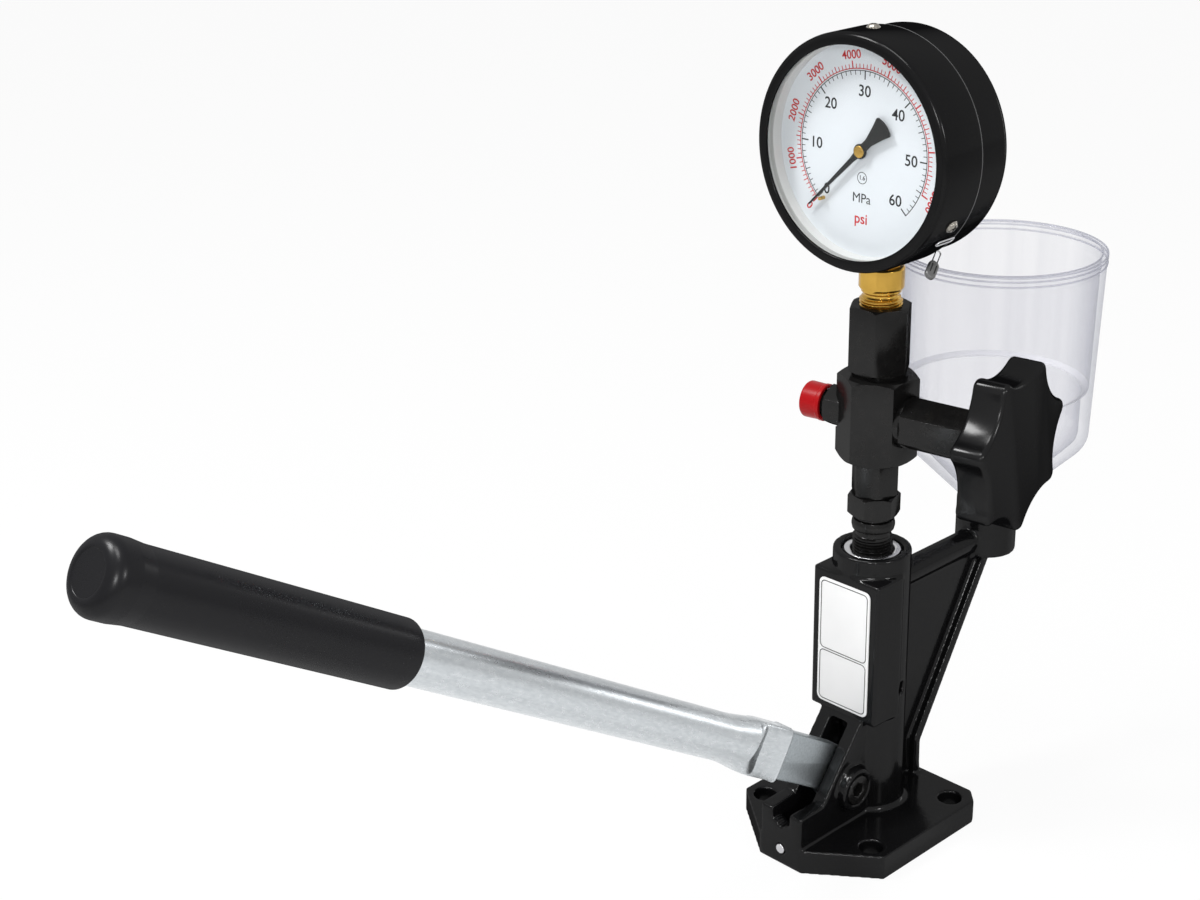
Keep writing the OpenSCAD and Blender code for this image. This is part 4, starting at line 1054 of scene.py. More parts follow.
@dataclass
class Lever:
    """Tongue, crimped tube and grip, drawn along the lever."""

    axis_rise: float = 5.3
    tube_r: float = 10.75
    wall: float = 1.6
    crimp_half: Pair = (6.5, 12.65)
    crimp_rise: float = 4.75
    flat_end: float = 70.0
    wedge: Pair = (12.2, 4.8)
    swell: float = 26.0
    crimp_start: float = 50.0
    tube_end: float = 423.0
    lip: tuple[Pair, ...] = ((0.0, 0.3), (0.3, -0.2), (0.8, -0.35), (1.4, -0.15), (2.0, 0.0))
    square: Pair = (7.0, 2.0)
    sides: int = 96
    fine: tuple[float, int] = (0.6, 24)
    coarse: tuple[float, int] = (1.6, 8)
    plain_rings: tuple[float, ...] = (180.0, 300.0)
    grip_from: float = 293.0
    grip_l: float = 139.0
    grip_r: Pair = (13.4, 14.1)
    grip_mouth: float = 1.8
    grip_collar: Triple = (17.0, 11.0, 0.6)
    grip_round: float = 5.6
    grip_dish: float = 0.3
    grip_end: float = 8.0
    grip_gap: float = 0.1

    def section(self, along: float, turn: float) -> tuple[float, float, float, float]:
        """Half width, half height, rise and squareness of the tube.

        Args:
            along: Distance from the pivot.
            turn: Angle round the tube, from its right side upward.

        Returns:
            The four values.
        """
        low, high = self.wedge
        past = along - self.flat_end
        side = min(1.0, max(0.0, past / (low + (high - low) * (1 + math.sin(turn)) / 2)))
        bulge = (1 - math.cos(math.pi * min(1.0, max(0.0, past / self.swell)))) / 2
        wide = self.crimp_half[0] + (self.tube_r - self.crimp_half[0]) * side
        tall = self.crimp_half[1] + (self.tube_r - self.crimp_half[1]) * bulge
        rise = self.crimp_rise + (self.axis_rise - self.crimp_rise) * bulge
        pressed, plain = self.square
        return wide, tall, rise, pressed + (plain - pressed) * side ** 0.5

    def stops(self) -> list[float]:
        """Where the rings of the tube stand, close together where it swells.

        Returns:
            Distances from the pivot.
        """
        flat = self.flat_end
        (fine, many), (coarse, few) = self.fine, self.coarse
        lip = [self.crimp_start + rise for rise, _ in self.lip]
        swelling = [flat + fine * k for k in range(many + 1)]
        last = flat + fine * many
        slowing = [last + coarse * k for k in range(1, few + 1)]
        return [*lip, flat - 10 * fine, flat - fine, *swelling, *slowing, *self.plain_rings, self.tube_end]

    def tube(self) -> Shape:
        """The tube, pressed flat over the tongue.

        Returns:
            The tube with its wall.
        """
        shape = Shape()
        ring = bmesh.ops.create_circle(shape.bm, segments=self.sides, radius=1.0)["verts"]
        turns = [math.atan2(v.co.y, v.co.x) for v in ring]
        edges = list({e for v in ring for e in v.link_edges})
        for i, along in enumerate(self.stops()):
            if i:
                made = bmesh.ops.extrude_edge_only(shape.bm, edges=edges)["geom"]
                pairs = {v: min(ring, key=lambda r: (r.co - v.co).length) for v in made
                         if isinstance(v, bmesh.types.BMVert)}
                matched = {old: new for new, old in pairs.items()}
                ring = [matched[v] for v in ring]
                edges = [e for e in made if isinstance(e, bmesh.types.BMEdge)]
            lip = self.lip[i][1] if i < len(self.lip) else 0.0
            for v, a in zip(ring, turns):
                wide, tall, rise, square = self.section(along, a)
                c, s = math.cos(a), math.sin(a)
                reach = (abs(c) ** square + abs(s) ** square) ** (-1 / square)
                v.co = (c * reach * (wide - lip), -along, rise + s * reach * (tall - lip))
        bmesh.ops.recalc_face_normals(shape.bm, faces=shape.bm.faces)
        bmesh.ops.solidify(shape.bm, geom=shape.bm.faces[:], thickness=self.wall)
        return shape.clean()

    def grip(self) -> Shape:
        """The sleeve, a little thicker at its round end.

        Returns:
            The sleeve.
        """
        near, far = self.grip_r
        bore, long, r = self.tube_r + self.grip_gap, self.grip_l, self.grip_round
        thin, thick, step = self.grip_collar
        turns = [math.radians(turn) for turn in range(0, 91, 10)]
        end = [(far - r + r * math.cos(t), long - r + r * math.sin(t)) for t in turns]
        dish, floor = long - self.grip_dish, long - self.grip_end
        sleeve = Shape.turned([(bore, 0), (near, 0, self.grip_mouth), (near, 8),
                               (far - step, long - thin, 8.0), (far, long - thick, 4.0), *end,
                               (far - r - 0.4, dish, 0.2), (0, dish), (0, floor), (bore, floor)])
        return sleeve.place(LEVER @ shift(y=-self.grip_from, z=self.axis_rise) @ rotation(90.0, "X"))

    def build(self, bench: Bench) -> None:
        """Make the pieces of the lever.

        Args:
            bench: Bench that finishes them.
        """
        bench.softened("tongue_bar", "lever_tongue", Look.DULL_ZINC, (0.7, 3), body="lever")
        bench.piece("lever_pipe", self.tube().place(LEVER), Look.ZINC, "lever", ["lever_tube"],
                    sharp=22.0)
        bench.piece("grip_sleeve", self.grip(), Look.RUBBER, "lever", ["lever_grip"], sharp=50.0)


@dataclass
class Column:
    """Ring, connector, nuts and adapter between the tower and the gauge."""

    flange_r: float = 11.5
    flange_z: Pair = (133.0, 137.0)
    thread_r: float = 9.3
    thread_deep: float = 0.85
    thread_pitch: float = 1.5
    thread_z: Pair = (139.0, 149.2)
    groove_r: float = 8.2
    collar_r: float = 10.0
    collar_z: Pair = (151.6, 157.0)
    top_z: float = 159.0
    socket_r: float = 7.1
    socket_z: float = 153.0
    way_r: float = 1.5
    chamber_r: float = 4.0
    chamber_z: float = 146.0
    hex_edge: tuple[float, int] = (0.45, 3)
    hex_sharp: float = 20.0

    def connector(self) -> Shape:
        """The connector with its screw thread, grooves and barrel collar.

        Returns:
            The connector.
        """
        core, groove, collar = self.thread_r - self.thread_deep, self.groove_r, self.collar_r
        foot, flange = self.flange_z
        thread_end = self.thread_z[1]
        low, high = self.collar_z
        middle = (low + high) / 2 - 0.1
        way, bore = self.way_r, self.chamber_r
        skin = Shape.turned([
            (bore, foot), (self.flange_r, foot), (self.flange_r, flange, 0.4), (core, flange),
            (core, thread_end - 0.2), (groove, thread_end, 0.5), (groove, low, 0.5),
            (collar - 0.6, low + 0.1, 0.6), (collar, middle, 4.0), (collar - 0.6, high - 0.2, 0.6),
            (groove, high, 0.5), (groove, self.top_z), (self.socket_r, self.top_z),
            (self.socket_r, self.socket_z), (way, self.socket_z), (way, self.chamber_z),
            (bore, self.chamber_z)])
        skin.add(Shape.thread(self.thread_r, self.thread_deep, self.thread_pitch, *self.thread_z))
        return skin.place(TOWER)

    def build(self, bench: Bench) -> None:
        """Make the pieces of the column.

        Args:
            bench: Bench that finishes them.
        """
        bench.piece("connector_stud", self.connector(), Look.BLACK_STEEL, nodes=["delivery_connector"])
        bench.softened("clamp_washer", "clamp_ring", Look.BRIGHT_STEEL)
        for node in ("lock_nut", "block_union", "gauge_adapter"):
            bench.softened(node + "_hex", node, Look.BLACK_STEEL, self.hex_edge,
                           self.hex_sharp)


@dataclass
class Spring:
    """A coil spring on the tower's axis, which its joint presses against its upper end."""

    name: str
    node: str
    joint: str
    radius: float
    wire: float
    turns: float
    low: float
    high: float

    def build(self, bench: Bench) -> None:
        """Make the spring and give it a mesh of its own.

        Args:
            bench: Bench that finishes it.
        """
        coil = Shape.coil(self.radius, self.wire, self.turns, self.low, self.high)
        thing = bench.piece(self.name, coil.place(TOWER), Look.SPRING_STEEL, nodes=[self.node])
        joints = frame["record"]["behaviour"]["joints"]
        travel = next(j["range_m"][1] for j in joints if j["name"] == self.joint)
        1.0 - travel / ((self.high - self.low) * MM)
        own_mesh(thing)


PLUNGER_SPRING = Spring("plunger_coil", "plunger_spring", "plunger_slide", radius=10.0, wire=1.25, turns=6,
                        low=45.07, high=81.95)
DELIVERY_SPRING = Spring("delivery_coil", "delivery_spring", "delivery_lift", radius=2.6, wire=0.38, turns=6,
                         low=135.58, high=145.95)


@dataclass
class ValveHead:
    """Valve block with outlet, red cap, bonnet and star knob."""

    knob_r: float = 38.0
    lobes: int = 7
    first_lobe: float = 66.5
    scallop_r: float = 27.0
    scallop_out: float = 58.0
    tip_round: float = 2.4
    knob_from: float = 56.1
    knob_to: float = 72.1
    hub_from: float = 51.1
    hub_r: float = 10.0
    bore_r: float = 5.05
    bore_end: float = 69.2
    cap_from: float = 25.8
    cap_to: float = 36.3
    cap_r: float = 8.6
    cap_end: float = 2.1
    cap_gap: float = 0.12
    outlet_thread_r: float = 7.0
    outlet_core_r: float = 6.2
    outlet_pitch: float = 1.5
    rim_edge: tuple[float, int] = (2.2, 6)
    rim_angle: float = 69.0
    facets: int = 48
    hex_sharp: float = 20.0

    def knob_reach(self, turn: float) -> float:
        """Radius of the knob at an angle from a lobe's middle.

        Args:
            turn: Angle in radians.

        Returns:
            The radius, with the corners beside each scallop rounded.
        """
        pitch, samples = math.tau / self.lobes, 9
        total = 0.0
        for k in range(samples):
            aside = math.radians(self.tip_round) * (2 * k / (samples - 1) - 1)
            off = pitch / 2 - abs((turn + aside + pitch / 2) % pitch - pitch / 2)
            across = self.scallop_out * math.sin(off)
            reach = self.knob_r
            if abs(across) < self.scallop_r:
                hollow = math.sqrt(self.scallop_r ** 2 - across ** 2)
                reach = min(reach, self.scallop_out * math.cos(off) - hollow)
            total += reach
        return total / samples

    def knob(self) -> Shape:
        """The moulded star knob on its hub.

        Returns:
            The knob.
        """
        star = Shape()
        count = self.lobes * self.facets
        ring = bmesh.ops.create_circle(star.bm, cap_ends=True, segments=count, radius=1.0)["verts"]
        start = math.radians(90.0 + self.first_lobe)
        for v in ring:
            reach = self.knob_reach(math.atan2(v.co.y, v.co.x) - start)
            v.co *= reach
        star.thicken(self.knob_to - self.knob_from)
        limit = math.radians(self.rim_angle)
        rims = [e for e in star.bm.edges if e.calc_face_angle(0.0) > limit]
        star.bevel(rims, *self.rim_edge).place(shift(z=self.knob_from))
        bore = Shape.rod(self.bore_r, self.bore_end - self.hub_from)
        star.cut(bore.place(shift(z=self.hub_from)))
        r, low, high = self.bore_r, self.hub_from, self.knob_from + 1.2
        hub = Shape.turned([(r, low), (self.hub_r, low, 0.8), (self.hub_r, high), (r, high)], 64)
        return star.add(hub).place(VALVE)

    def nipple(self) -> Shape:
        """The outlet nipple with its screw thread cut.

        Returns:
            The nipple.
        """
        shape = Shape.of_node("outlet_nipple").place(OUTLET.inverted())
        low, high = self.cap_from - 0.3, self.cap_to - self.cap_end - 0.1
        for v in shape.bm.verts:
            if v.co.z > low and v.co.xy.length > self.outlet_core_r:
                v.co.xy *= self.outlet_core_r / v.co.xy.length
        shape.soften(0.35, 2, self.hex_sharp)
        crest = self.outlet_thread_r
        ridge = Shape.thread(crest, crest - self.outlet_core_r, self.outlet_pitch, low, high)
        return shape.add(ridge).place(OUTLET)

    def cap(self) -> Shape:
        """The soft red cap with a thicker lip.

        Returns:
            The cap.
        """
        r, low, high = self.cap_r, self.cap_from, self.cap_to
        bore, floor = self.outlet_thread_r + self.cap_gap, high - self.cap_end
        cup = Shape.turned([(bore, low), (r, low, 0.4), (r, low + 1.8, 0.3), (r - 0.3, low + 2.2, 0.3),
                            (r - 0.1, high, 1.2), (0, high), (0, floor), (bore, floor)], 72)
        return cup.place(OUTLET)

    def build(self, bench: Bench) -> None:
        """Make the pieces of the valve head.

        Args:
            bench: Bench that finishes them.
        """
        bench.softened("valve_block_hex", "valve_block", Look.BLACK_STEEL, (0.5, 3),
                       self.hex_sharp)
        bench.piece("outlet_nipple_hex", self.nipple(), Look.BLACK_STEEL, nodes=["outlet_nipple"])
        bench.piece("dust_cap", self.cap(), Look.CAP_PLASTIC, "cap", ["outlet_cap"])
        bench.softened("bonnet_hex", "valve_bonnet", Look.BLACK_STEEL, (0.45, 3),
                       self.hex_sharp)
        bench.piece("star_knob", self.knob(), Look.KNOB_PLASTIC, "knob_spindle", ["knob"],
                    sharp=40.0)


@dataclass
class Gauge:
    """The pressure gauge with its printed dial, pointer, bezel and seal."""

    facets: int = 160
    bezel_r: float = 50.5
    bezel_wall: float = 1.4
    bezel_lip: float = 3.0
    aperture: float = 45.2
    case_r: float = 49.0
    case_inner: float = 46.5
    case_front: float = 6.0
    ledge_r: float = 44.5
    ledge_w: Pair = (11.0, 14.0)
    back_wall: float = 2.6
    back_step: Triple = (30.0, 28.5, 0.8)
    depth: float = 46.0
    dial_r: float = 46.3
    hole_r: float = 1.5
    glass_r: float = 47.9
    glass_w: Pair = (3.05, 5.2)
    seat_r: Pair = (48.0, 48.95)
    skirt_end: float = 24.0
    skirt_worn: float = 0.7
    stem_at: float = 25.6
    stem_r: float = 8.3
    stem_reach: float = 60.0
    screws: tuple[float, ...] = (90.0, -30.0, 210.0)
    screw_reach: Triple = (46.6, 50.5, 52.3)
    screw_r: Triple = (1.45, 3.0, 2.5)
    cross_size: Triple = (3.4, 0.9, 2.2)
    seal_at: float = -46.0
    seal_w: float = 17.5
    screw_w: float = 14.4
    wire_mid: float = 51.95
    slot_size: Pair = (4.0, 16.4)
    dial_front: float = 10.0
    hand_w: float = 8.5
    zero: float = 225.0
    sweep: float = 270.0
    full_mpa: float = 60.0
    full_psi: float = 8000.0
    mpa_per_psi: float = 0.00689476
    black_arc: float = 33.4
    black_line: float = 0.34
    black_marks: tuple[Pair, ...] = ((3.6, 0.55), (2.6, 0.36), (1.8, 0.3))
    red_arc: float = 34.2
    red_line: float = 0.4
    red_marks: tuple[Pair, ...] = ((3.2, 0.6), (2.5, 0.4), (1.9, 0.34))
    mark_lap: float = 0.1
    ink: float = 0.05
    bold: float = 0.07
    figures_at: float = 25.3
    figure_size: float = 6.7
    zero_at: float = 26.9
    red_figures_at: float = 39.8
    red_figure_size: float = 5.1
    unit_at: Pair = (-20.6, -29.4)
    unit_size: Pair = (5.8, 6.5)
    class_at: float = -11.7
    class_size: float = 2.7
    class_ring: Pair = (2.3, 2.6)
    hand_thick: float = 0.9
    hub_r: Pair = (1.25, 3.2)
    boss_r: float = 2.6
    tag_size: Triple = (4.7, 10.2, 2.0)
    tag_round: float = 0.46
    tag_lean: float = 58.0
    tag_drop: float = 13.5
    press_size: Triple = (0.6, 5.304, 1.4)
    press_at: Pair = (1.0, 0.3)
    staple_size: Triple = (2.6, 11.0, 0.45)
    link_size: Triple = (2.4, 8.4, 0.35)
    link_lap: float = 1.2
    slot_turn: float = 5.0
    shank_z: float = 243.5
    shank_r: Triple = (8.7, 7.9, 8.9)
    thread_z: Pair = (250.5, 262.4)
    thread_deep: float = 0.8
    thread_pitch: float = 1.5
    nut_z: float = 265.5
    nut_r: float = 10.0
    nut_half: float = 9.0
    block_size: Triple = (15.8, 13.8, 12.0)
    block_z: float = 289.8

    def stem_way(self) -> Shape:
        """Cutter for the socket's way into the gauge."""
        return Shape.rod(self.stem_r, self.stem_reach).place(shift(z=-self.stem_at) @ rotation(90.0, "X"))

    def bezel(self) -> Shape:
        """Rolled bezel with the stem slot and the seal slot.

        Returns:
            The bezel.
        """
        r, a = self.bezel_r, self.aperture
        inside, lip, end = r - self.bezel_wall, -self.bezel_lip, -self.skirt_end
        ring = Shape.turned([(a, -1.3, 0.4), (a, 0, 0.8), (r, 0, 2.4), (r, end, 0.35), (inside, end),
                             (inside, lip), (a + 1.8, lip)], self.facets)
        back, reach = self.depth - self.stem_at + 8, self.stem_reach
        slot = Shape.box((2 * self.stem_r, reach, back), (0, -reach / 2, -self.stem_at - back / 2 + 0.01))
        wide, long = self.slot_size
        gap = Shape.box((6.0, wide, long), (r - 0.5, 0, -self.seal_w)).soften(1.2, 4)
        gap.place(rotation(self.seal_at + self.slot_turn, "Z"))
        return ring.cut(self.stem_way(), slot, gap).place(GAUGE)

    def case(self) -> Shape:
        """Drawn case with a rounded back and a pressed rim line.

        Returns:
            The case.
        """
        r, back, front = self.case_r, -self.depth, -self.case_front
        inner, ledge, floor = self.case_inner, self.ledge_r, self.back_wall - self.depth
        outer_step, inner_step, deep = self.back_step
        ledge_front, ledge_back = (-w for w in self.ledge_w)
        shell = Shape.turned([(inner, front), (r, front), (r, back, 5.0), (outer_step, back),
                              (inner_step, back + deep, 0.8), (0, back + deep), (0, floor),
                              (inner, floor, 3.0), (inner, ledge_back), (ledge, ledge_back),
                              (ledge, ledge_front), (inner, ledge_front)], self.facets)
        return shell.cut(self.stem_way()).place(GAUGE)

    def skirt_line(self) -> Shape:
        """Lighter grey line where the bezel ends on the case.

        Returns:
            The edge.
        """
        near, far, end = self.case_r, self.bezel_r - 0.1, -self.skirt_end
        back = end - self.skirt_worn
        line = Shape.turned([(near, end), (far, end), (far, back, 0.25), (near, back)], self.facets)
        return line.cut(self.stem_way()).place(GAUGE)

    def dial(self) -> Shape:
        """White dial plate."""
        low, high = (self.hole_r, -self.dial_front - 1), (self.dial_r, -self.dial_front)
        return Shape.turned(rectangle(low, high), self.facets).place(GAUGE)

    def inner_ring(self) -> Shape:
        """Pale ring that holds the glass off the dial and round its edge.

        Returns:
            The ring.
        """
        hair = 0.02
        foot, shelf = hair - self.dial_front, -self.case_front - hair
        near, far = self.seat_r
        front, back = -self.glass_w[0], -self.glass_w[1] - 0.05
        ring = Shape.turned([(self.aperture, foot), (self.dial_r, foot), (self.dial_r, shelf), (far, shelf),
                             (far, front), (near, front), (near, back), (self.aperture + 0.4, back, 0.3)],
                            self.facets)
        return ring.place(GAUGE)

    def pane(self) -> Shape:
        """The window glass.

        Returns:
            The pane.
        """
        front, back = (-w for w in self.glass_w)
        r = self.glass_r
        return Shape.turned([(0, back), (r, back, 0.3), (r, front, 0.3), (0, front)], 128).place(GAUGE)

    def turn_mpa(self, value: float) -> float:
        """Angle of a reading on the dial, in degrees."""
        return self.zero - self.sweep * value / self.full_mpa

    def bar(self, turn: float, near: float, far: float, wide: float) -> Shape:
        """One scale line.

        Args:
            turn: Its angle in degrees.
            near: Inner radius.
            far: Outer radius.
            wide: Its width.

        Returns:
            The line.
        """
        line = Shape.box((far - near, wide, self.ink), ((near + far) / 2, 0, self.ink / 2))
        return line.place(rotation(turn, "Z"))

    def arc(self, radius: float, wide: float, last: float) -> Shape:
        """The scale's long line.

        Args:
            radius: Its radius.
            wide: Its width.
            last: Angle in degrees where it ends.

        Returns:
            The line.
        """
        strip = Shape()
        made = bmesh.ops.create_grid(strip.bm, x_segments=1, y_segments=1, size=0.5)["verts"]
        spot = rotation(self.zero, "Z") @ shift(radius, z=self.ink / 2) @ rotation(90.0, "X")
        section = Matrix.Diagonal((wide, self.ink, 1.0, 1.0))
        bmesh.ops.transform(strip.bm, verts=made, matrix=spot @ section)
        bmesh.ops.spin(strip.bm, geom=[*strip.bm.verts, *strip.bm.edges, *strip.bm.faces], cent=(0, 0, 0),
                       axis=(0, 0, 1), dvec=(0, 0, 0), angle=math.radians(last - self.zero), steps=120)
        return strip.clean()

    def scale(self, edge: float, line: float, readings: Sequence[float], marks: Sequence[Pair],
              out: float) -> Shape:
        """An arc with long, middle and short marks, ten to a figure.

        Args:
            edge: Radius of the arc.
            line: Width of the arc.
            readings: Pressure at each mark, in megapascals.
            marks: Length and width of a mark at a figure, half way to the next and in between.
            out: 1 where the marks point outward, -1 where they point inward.

        Returns:
            The arc and its marks.
        """
        lines = self.arc(edge, line, self.turn_mpa(readings[-1]))
        for k, reading in enumerate(readings):
            long, wide = marks[0 if k % 10 == 0 else 1 if k % 5 == 0 else 2]
            near, far = sorted((edge - out * self.mark_lap, edge + out * long))
            lines.add(self.bar(self.turn_mpa(reading), near, far, wide))
        return lines

    def lettering(self, text: str, size: float, spot: Matrix, bold: float = 0.0) -> Shape:
        """Plain figures or letters as a thin raised print.

        Args:
            text: What it says.
            size: Letter size.
            spot: Where its middle lies on the dial.
            bold: How far the strokes are fattened.

        Returns:
            The print.
        """
        curve = bpy.data.curves.new("lettering", "FONT")
        curve.body, curve.size, curve.align_x, curve.align_y = text, size, "CENTER", "CENTER"
        curve.extrude, curve.resolution_u, curve.offset = self.ink / 2, 5, bold
        holder = bpy.data.objects.new("lettering", curve)
        bpy.context.scene.collection.objects.link(holder)
        made = bpy.data.meshes.new_from_object(holder.evaluated_get(bpy.context.evaluated_depsgraph_get()))
        words = Shape()
        words.bm.from_mesh(made)
        bpy.data.objects.remove(holder)
        bpy.data.curves.remove(curve)
        bpy.data.meshes.remove(made)
        return words.place(spot @ shift(z=self.ink / 2))

    def black_print(self) -> Shape:
        """Inner scale in megapascals.

        Returns:
            The black print.
        """
        readings = range(int(self.full_mpa) + 1)
        marks = self.scale(self.black_arc, self.black_line, readings, self.black_marks, -1.0)
        for mpa in readings[::10]:
            turn = math.radians(self.turn_mpa(mpa))
            reach = self.figures_at if mpa else self.zero_at
            spot = shift(reach * math.cos(turn), reach * math.sin(turn) - 0.5)
            marks.add(self.lettering(str(mpa), self.figure_size, spot, self.bold))
        marks.add(self.lettering("MPa", self.unit_size[0], shift(y=self.unit_at[0])))
        in_ring = shift(y=self.class_at)
        marks.add(self.lettering("1.6", self.class_size, in_ring, 0.03))
        near, far = self.class_ring
        ring = Shape.turned(rectangle((near, 0), (far, self.ink)), 48)
        return marks.add(ring.place(in_ring))

    def red_print(self) -> Shape:
        """Outer scale in pounds to the square inch.

        Returns:
            The red print.
        """
        values = range(0, int(self.full_psi) + 1, 100)
        readings = [psi * self.mpa_per_psi for psi in values]
        marks = self.scale(self.red_arc, self.red_line, readings, self.red_marks, 1.0)
        for psi in values[::10]:
            outward = rotation(self.turn_mpa(psi * self.mpa_per_psi) - 90.0, "Z")
            spot = outward @ shift(y=self.red_figures_at)
            marks.add(self.lettering(str(psi), self.red_figure_size, spot, self.bold))
        return marks.add(self.lettering("psi", self.unit_size[1], shift(y=self.unit_at[1]), self.bold))

    def pointer(self) -> Shape:
        """Black pointer with a spade tail.

        Returns:
            The pointer.
        """
        half = [(38.4, 0.3), (6, 1.1, 3), (0, 1.9), (-6, 1.8, 4), (-13, 3.6, 5), (-17.4, 5.1, 0.9)]
        mirrored = [(x, -y, *r) for x, y, *r in reversed(half)]
        hand = Shape.slab([*half, (-18.8, 0, 9), *mirrored], self.hand_thick)
        hand.soften(0.12, 2)
        near, far = self.hub_r
        top = self.hand_thick + 0.1
        hand.add(Shape.turned([(near, 0), (far, 0), (far, top, 0.3), (near, top)], 48))
        return hand.place(GAUGE @ shift(z=-self.hand_w) @ rotation(self.zero, "Z"))

    def boss(self) -> Shape:
        """Brass boss of the pointer with a dimple.

        Returns:
            The boss.
        """
        low, r = self.hand_thick - self.hand_w, self.boss_r
        dimple = low + 0.8
        return Shape.turned([(0, low), (r, low), (r, low + 0.7, 0.5), (0.7, low + 1.1, 0.2),
                             (0.5, dimple, 0.1), (0, dimple)], 48).place(GAUGE)

    def screw_heads(self) -> Shape:
        """Three domed screws with cross slots.

        Returns:
            The screws.
        """
        foot, face, top = self.screw_reach
        shank, washer, head = self.screw_r
        long, wide, deep = self.cross_size
        heads = Shape()
        for turn in self.screws:
            screw = Shape.turned([(0, foot), (shank, foot), (shank, face - 0.1), (washer, face - 0.1),
                                  (washer, face + 0.4, 0.2), (head + 0.1, face + 0.5, 0.1),
                                  (head, face + 0.8, 0.2), (head - 0.6, top - 0.2, 1.2), (0, top)], 40)
            middle = (0, 0, top - 0.1)
            screw.cut(Shape.box((long, wide, deep), middle), Shape.box((wide, long, deep), middle))
            heads.add(screw.place(GAUGE @ shift(z=-self.screw_w) @ rotation(turn, "Z") @ rotation(90.0, "Y")))
        return heads

    def tag(self) -> Shape:
        """Leaf-shaped seal tag with two pressed slots, hung from the wire.

        Returns:
            The tag.
        """
        wide, tall, thick = self.tag_size
        x, y, r = wide / 2, tall / 2, wide * self.tag_round
        leaf = Shape.slab(rectangle((-x, -y), (x, y), r), thick).soften(0.5, 3)
        across, up = self.press_at
        leaf.cut(*[Shape.box(self.press_size, (at, up, face)) for at in (-across, across)
                   for face in (0.0, thick)])
        lie = rotation(90.0, "X") @ rotation(90.0, "Z")
        return leaf.place(self.hang() @ shift(self.tag_drop, thick / 2) @ lie)

    def at_seal(self, ahead: float = 0.0) -> Matrix:
        """Frame of the seal wire: X outward from the bezel, Z to the front.

        Args:
            ahead: Angle past the seal, in degrees.

        Returns:
            The frame.
        """
        return GAUGE @ rotation(self.seal_at + ahead, "Z") @ shift(self.wire_mid, z=-self.seal_w)

    def staple(self) -> Shape:
        """Flat wire loop in the bezel slot and the link that carries the tag.

        Returns:
            The loop and the link.
        """
        wide, long, wire = self.staple_size
        lie = shift(self.bezel_r - self.wire_mid + wire) @ rotation(90.0, "Y")
        loop = Shape.link(wide, long, wire).place(self.at_seal(self.slot_turn) @ lie)
        reach = self.tag_drop - self.tag_size[1] / 2
        hang = self.hang() @ shift(reach - self.link_size[1] / 2 + self.link_lap)
        return loop.add(Shape.link(*self.link_size).place(hang @ rotation(90.0, "X")))

    def hang(self) -> Matrix:
        """Frame at the front of the wire: X down along the tag, Y across the leaf's thickness."""
        return self.at_seal() @ rotation(-self.tag_lean, "Y")

    def socket(self) -> Shape:
        """Brass socket: screw thread, bead, spanner flats and inner block.

        Returns:
            The socket.
        """
        way, foot, step = self.hole_r, self.shank_z, self.nut_z
        r, neck, bead = self.shank_r
        shank = Shape.turned([(way, foot), (r, foot), (r, step - 3.4, 0.6), (neck, step - 2.6, 0.5),
                              (neck, step - 1.6, 0.5), (bead, step - 1.0, 0.8), (bead, step + 0.4),
                              (way, step + 0.4)])
        shank.add(Shape.thread(r + self.thread_deep, self.thread_deep, self.thread_pitch, *self.thread_z))
        nut, stem, top = self.nut_r, self.stem_r - 0.3, self.nut_z + 10.5
        flats = Shape.turned([(way, step), (nut - 0.8, step, 0.4), (nut, step + 1.2, 0.4),
                              (nut, top - 0.8, 0.4), (nut - 0.6, top, 0.4), (stem, top + 0.2),
                              (stem, top + 10), (way, top + 10)])
        for side in (1.0, -1.0):
            flats.trim((0, side * self.nut_half, 0), (0, side, 0))
        block = Shape.box(self.block_size, (0, 0, self.block_z)).soften(0.5, 2)
        return shank.add(flats.clean(), block).place(TOWER)

    def build(self, bench: Bench) -> None:
        """Make the pieces of the gauge.

        Args:
            bench: Bench that finishes them.
        """
        bench.piece("bezel_ring", self.bezel(), Look.CASE_PAINT, nodes=["gauge_bezel"])
        bench.piece("skirt_line", self.skirt_line(), Look.WORN_EDGE)
        bench.piece("case_shell", self.case(), Look.CASE_PAINT, nodes=["gauge_case"])
        bench.piece("dial_plate", self.dial(), Look.DIAL_PAINT, nodes=["gauge_dial"])
        on_dial = GAUGE @ shift(z=-self.dial_front)
        bench.piece("scale_black", self.black_print().place(on_dial), Look.BLACK_INK)
        bench.piece("scale_red", self.red_print().place(on_dial), Look.RED_INK)
        bench.piece("hand", self.pointer(), Look.POINTER_PAINT, "pointer", ["pointer"])
        bench.piece("hand_boss", self.boss(), Look.BRASS, "pointer")
        bench.piece("inner_ring", self.inner_ring(), Look.RING_PAINT)
        bench.piece("window_pane", self.pane(), Look.GLASS, nodes=["gauge_glass"])
        bench.piece("bezel_screw_heads", self.screw_heads(), Look.SCREW_STEEL, nodes=["bezel_screws"])
        bench.piece("stem_socket", self.socket(), Look.BRASS, nodes=["gauge_socket"])
        bench.piece("seal_staple", self.staple(), Look.BRIGHT_STEEL, nodes=["seal_wire"])
        bench.piece("seal_tag", self.tag(), Look.LEAD, nodes=["lead_seal"])


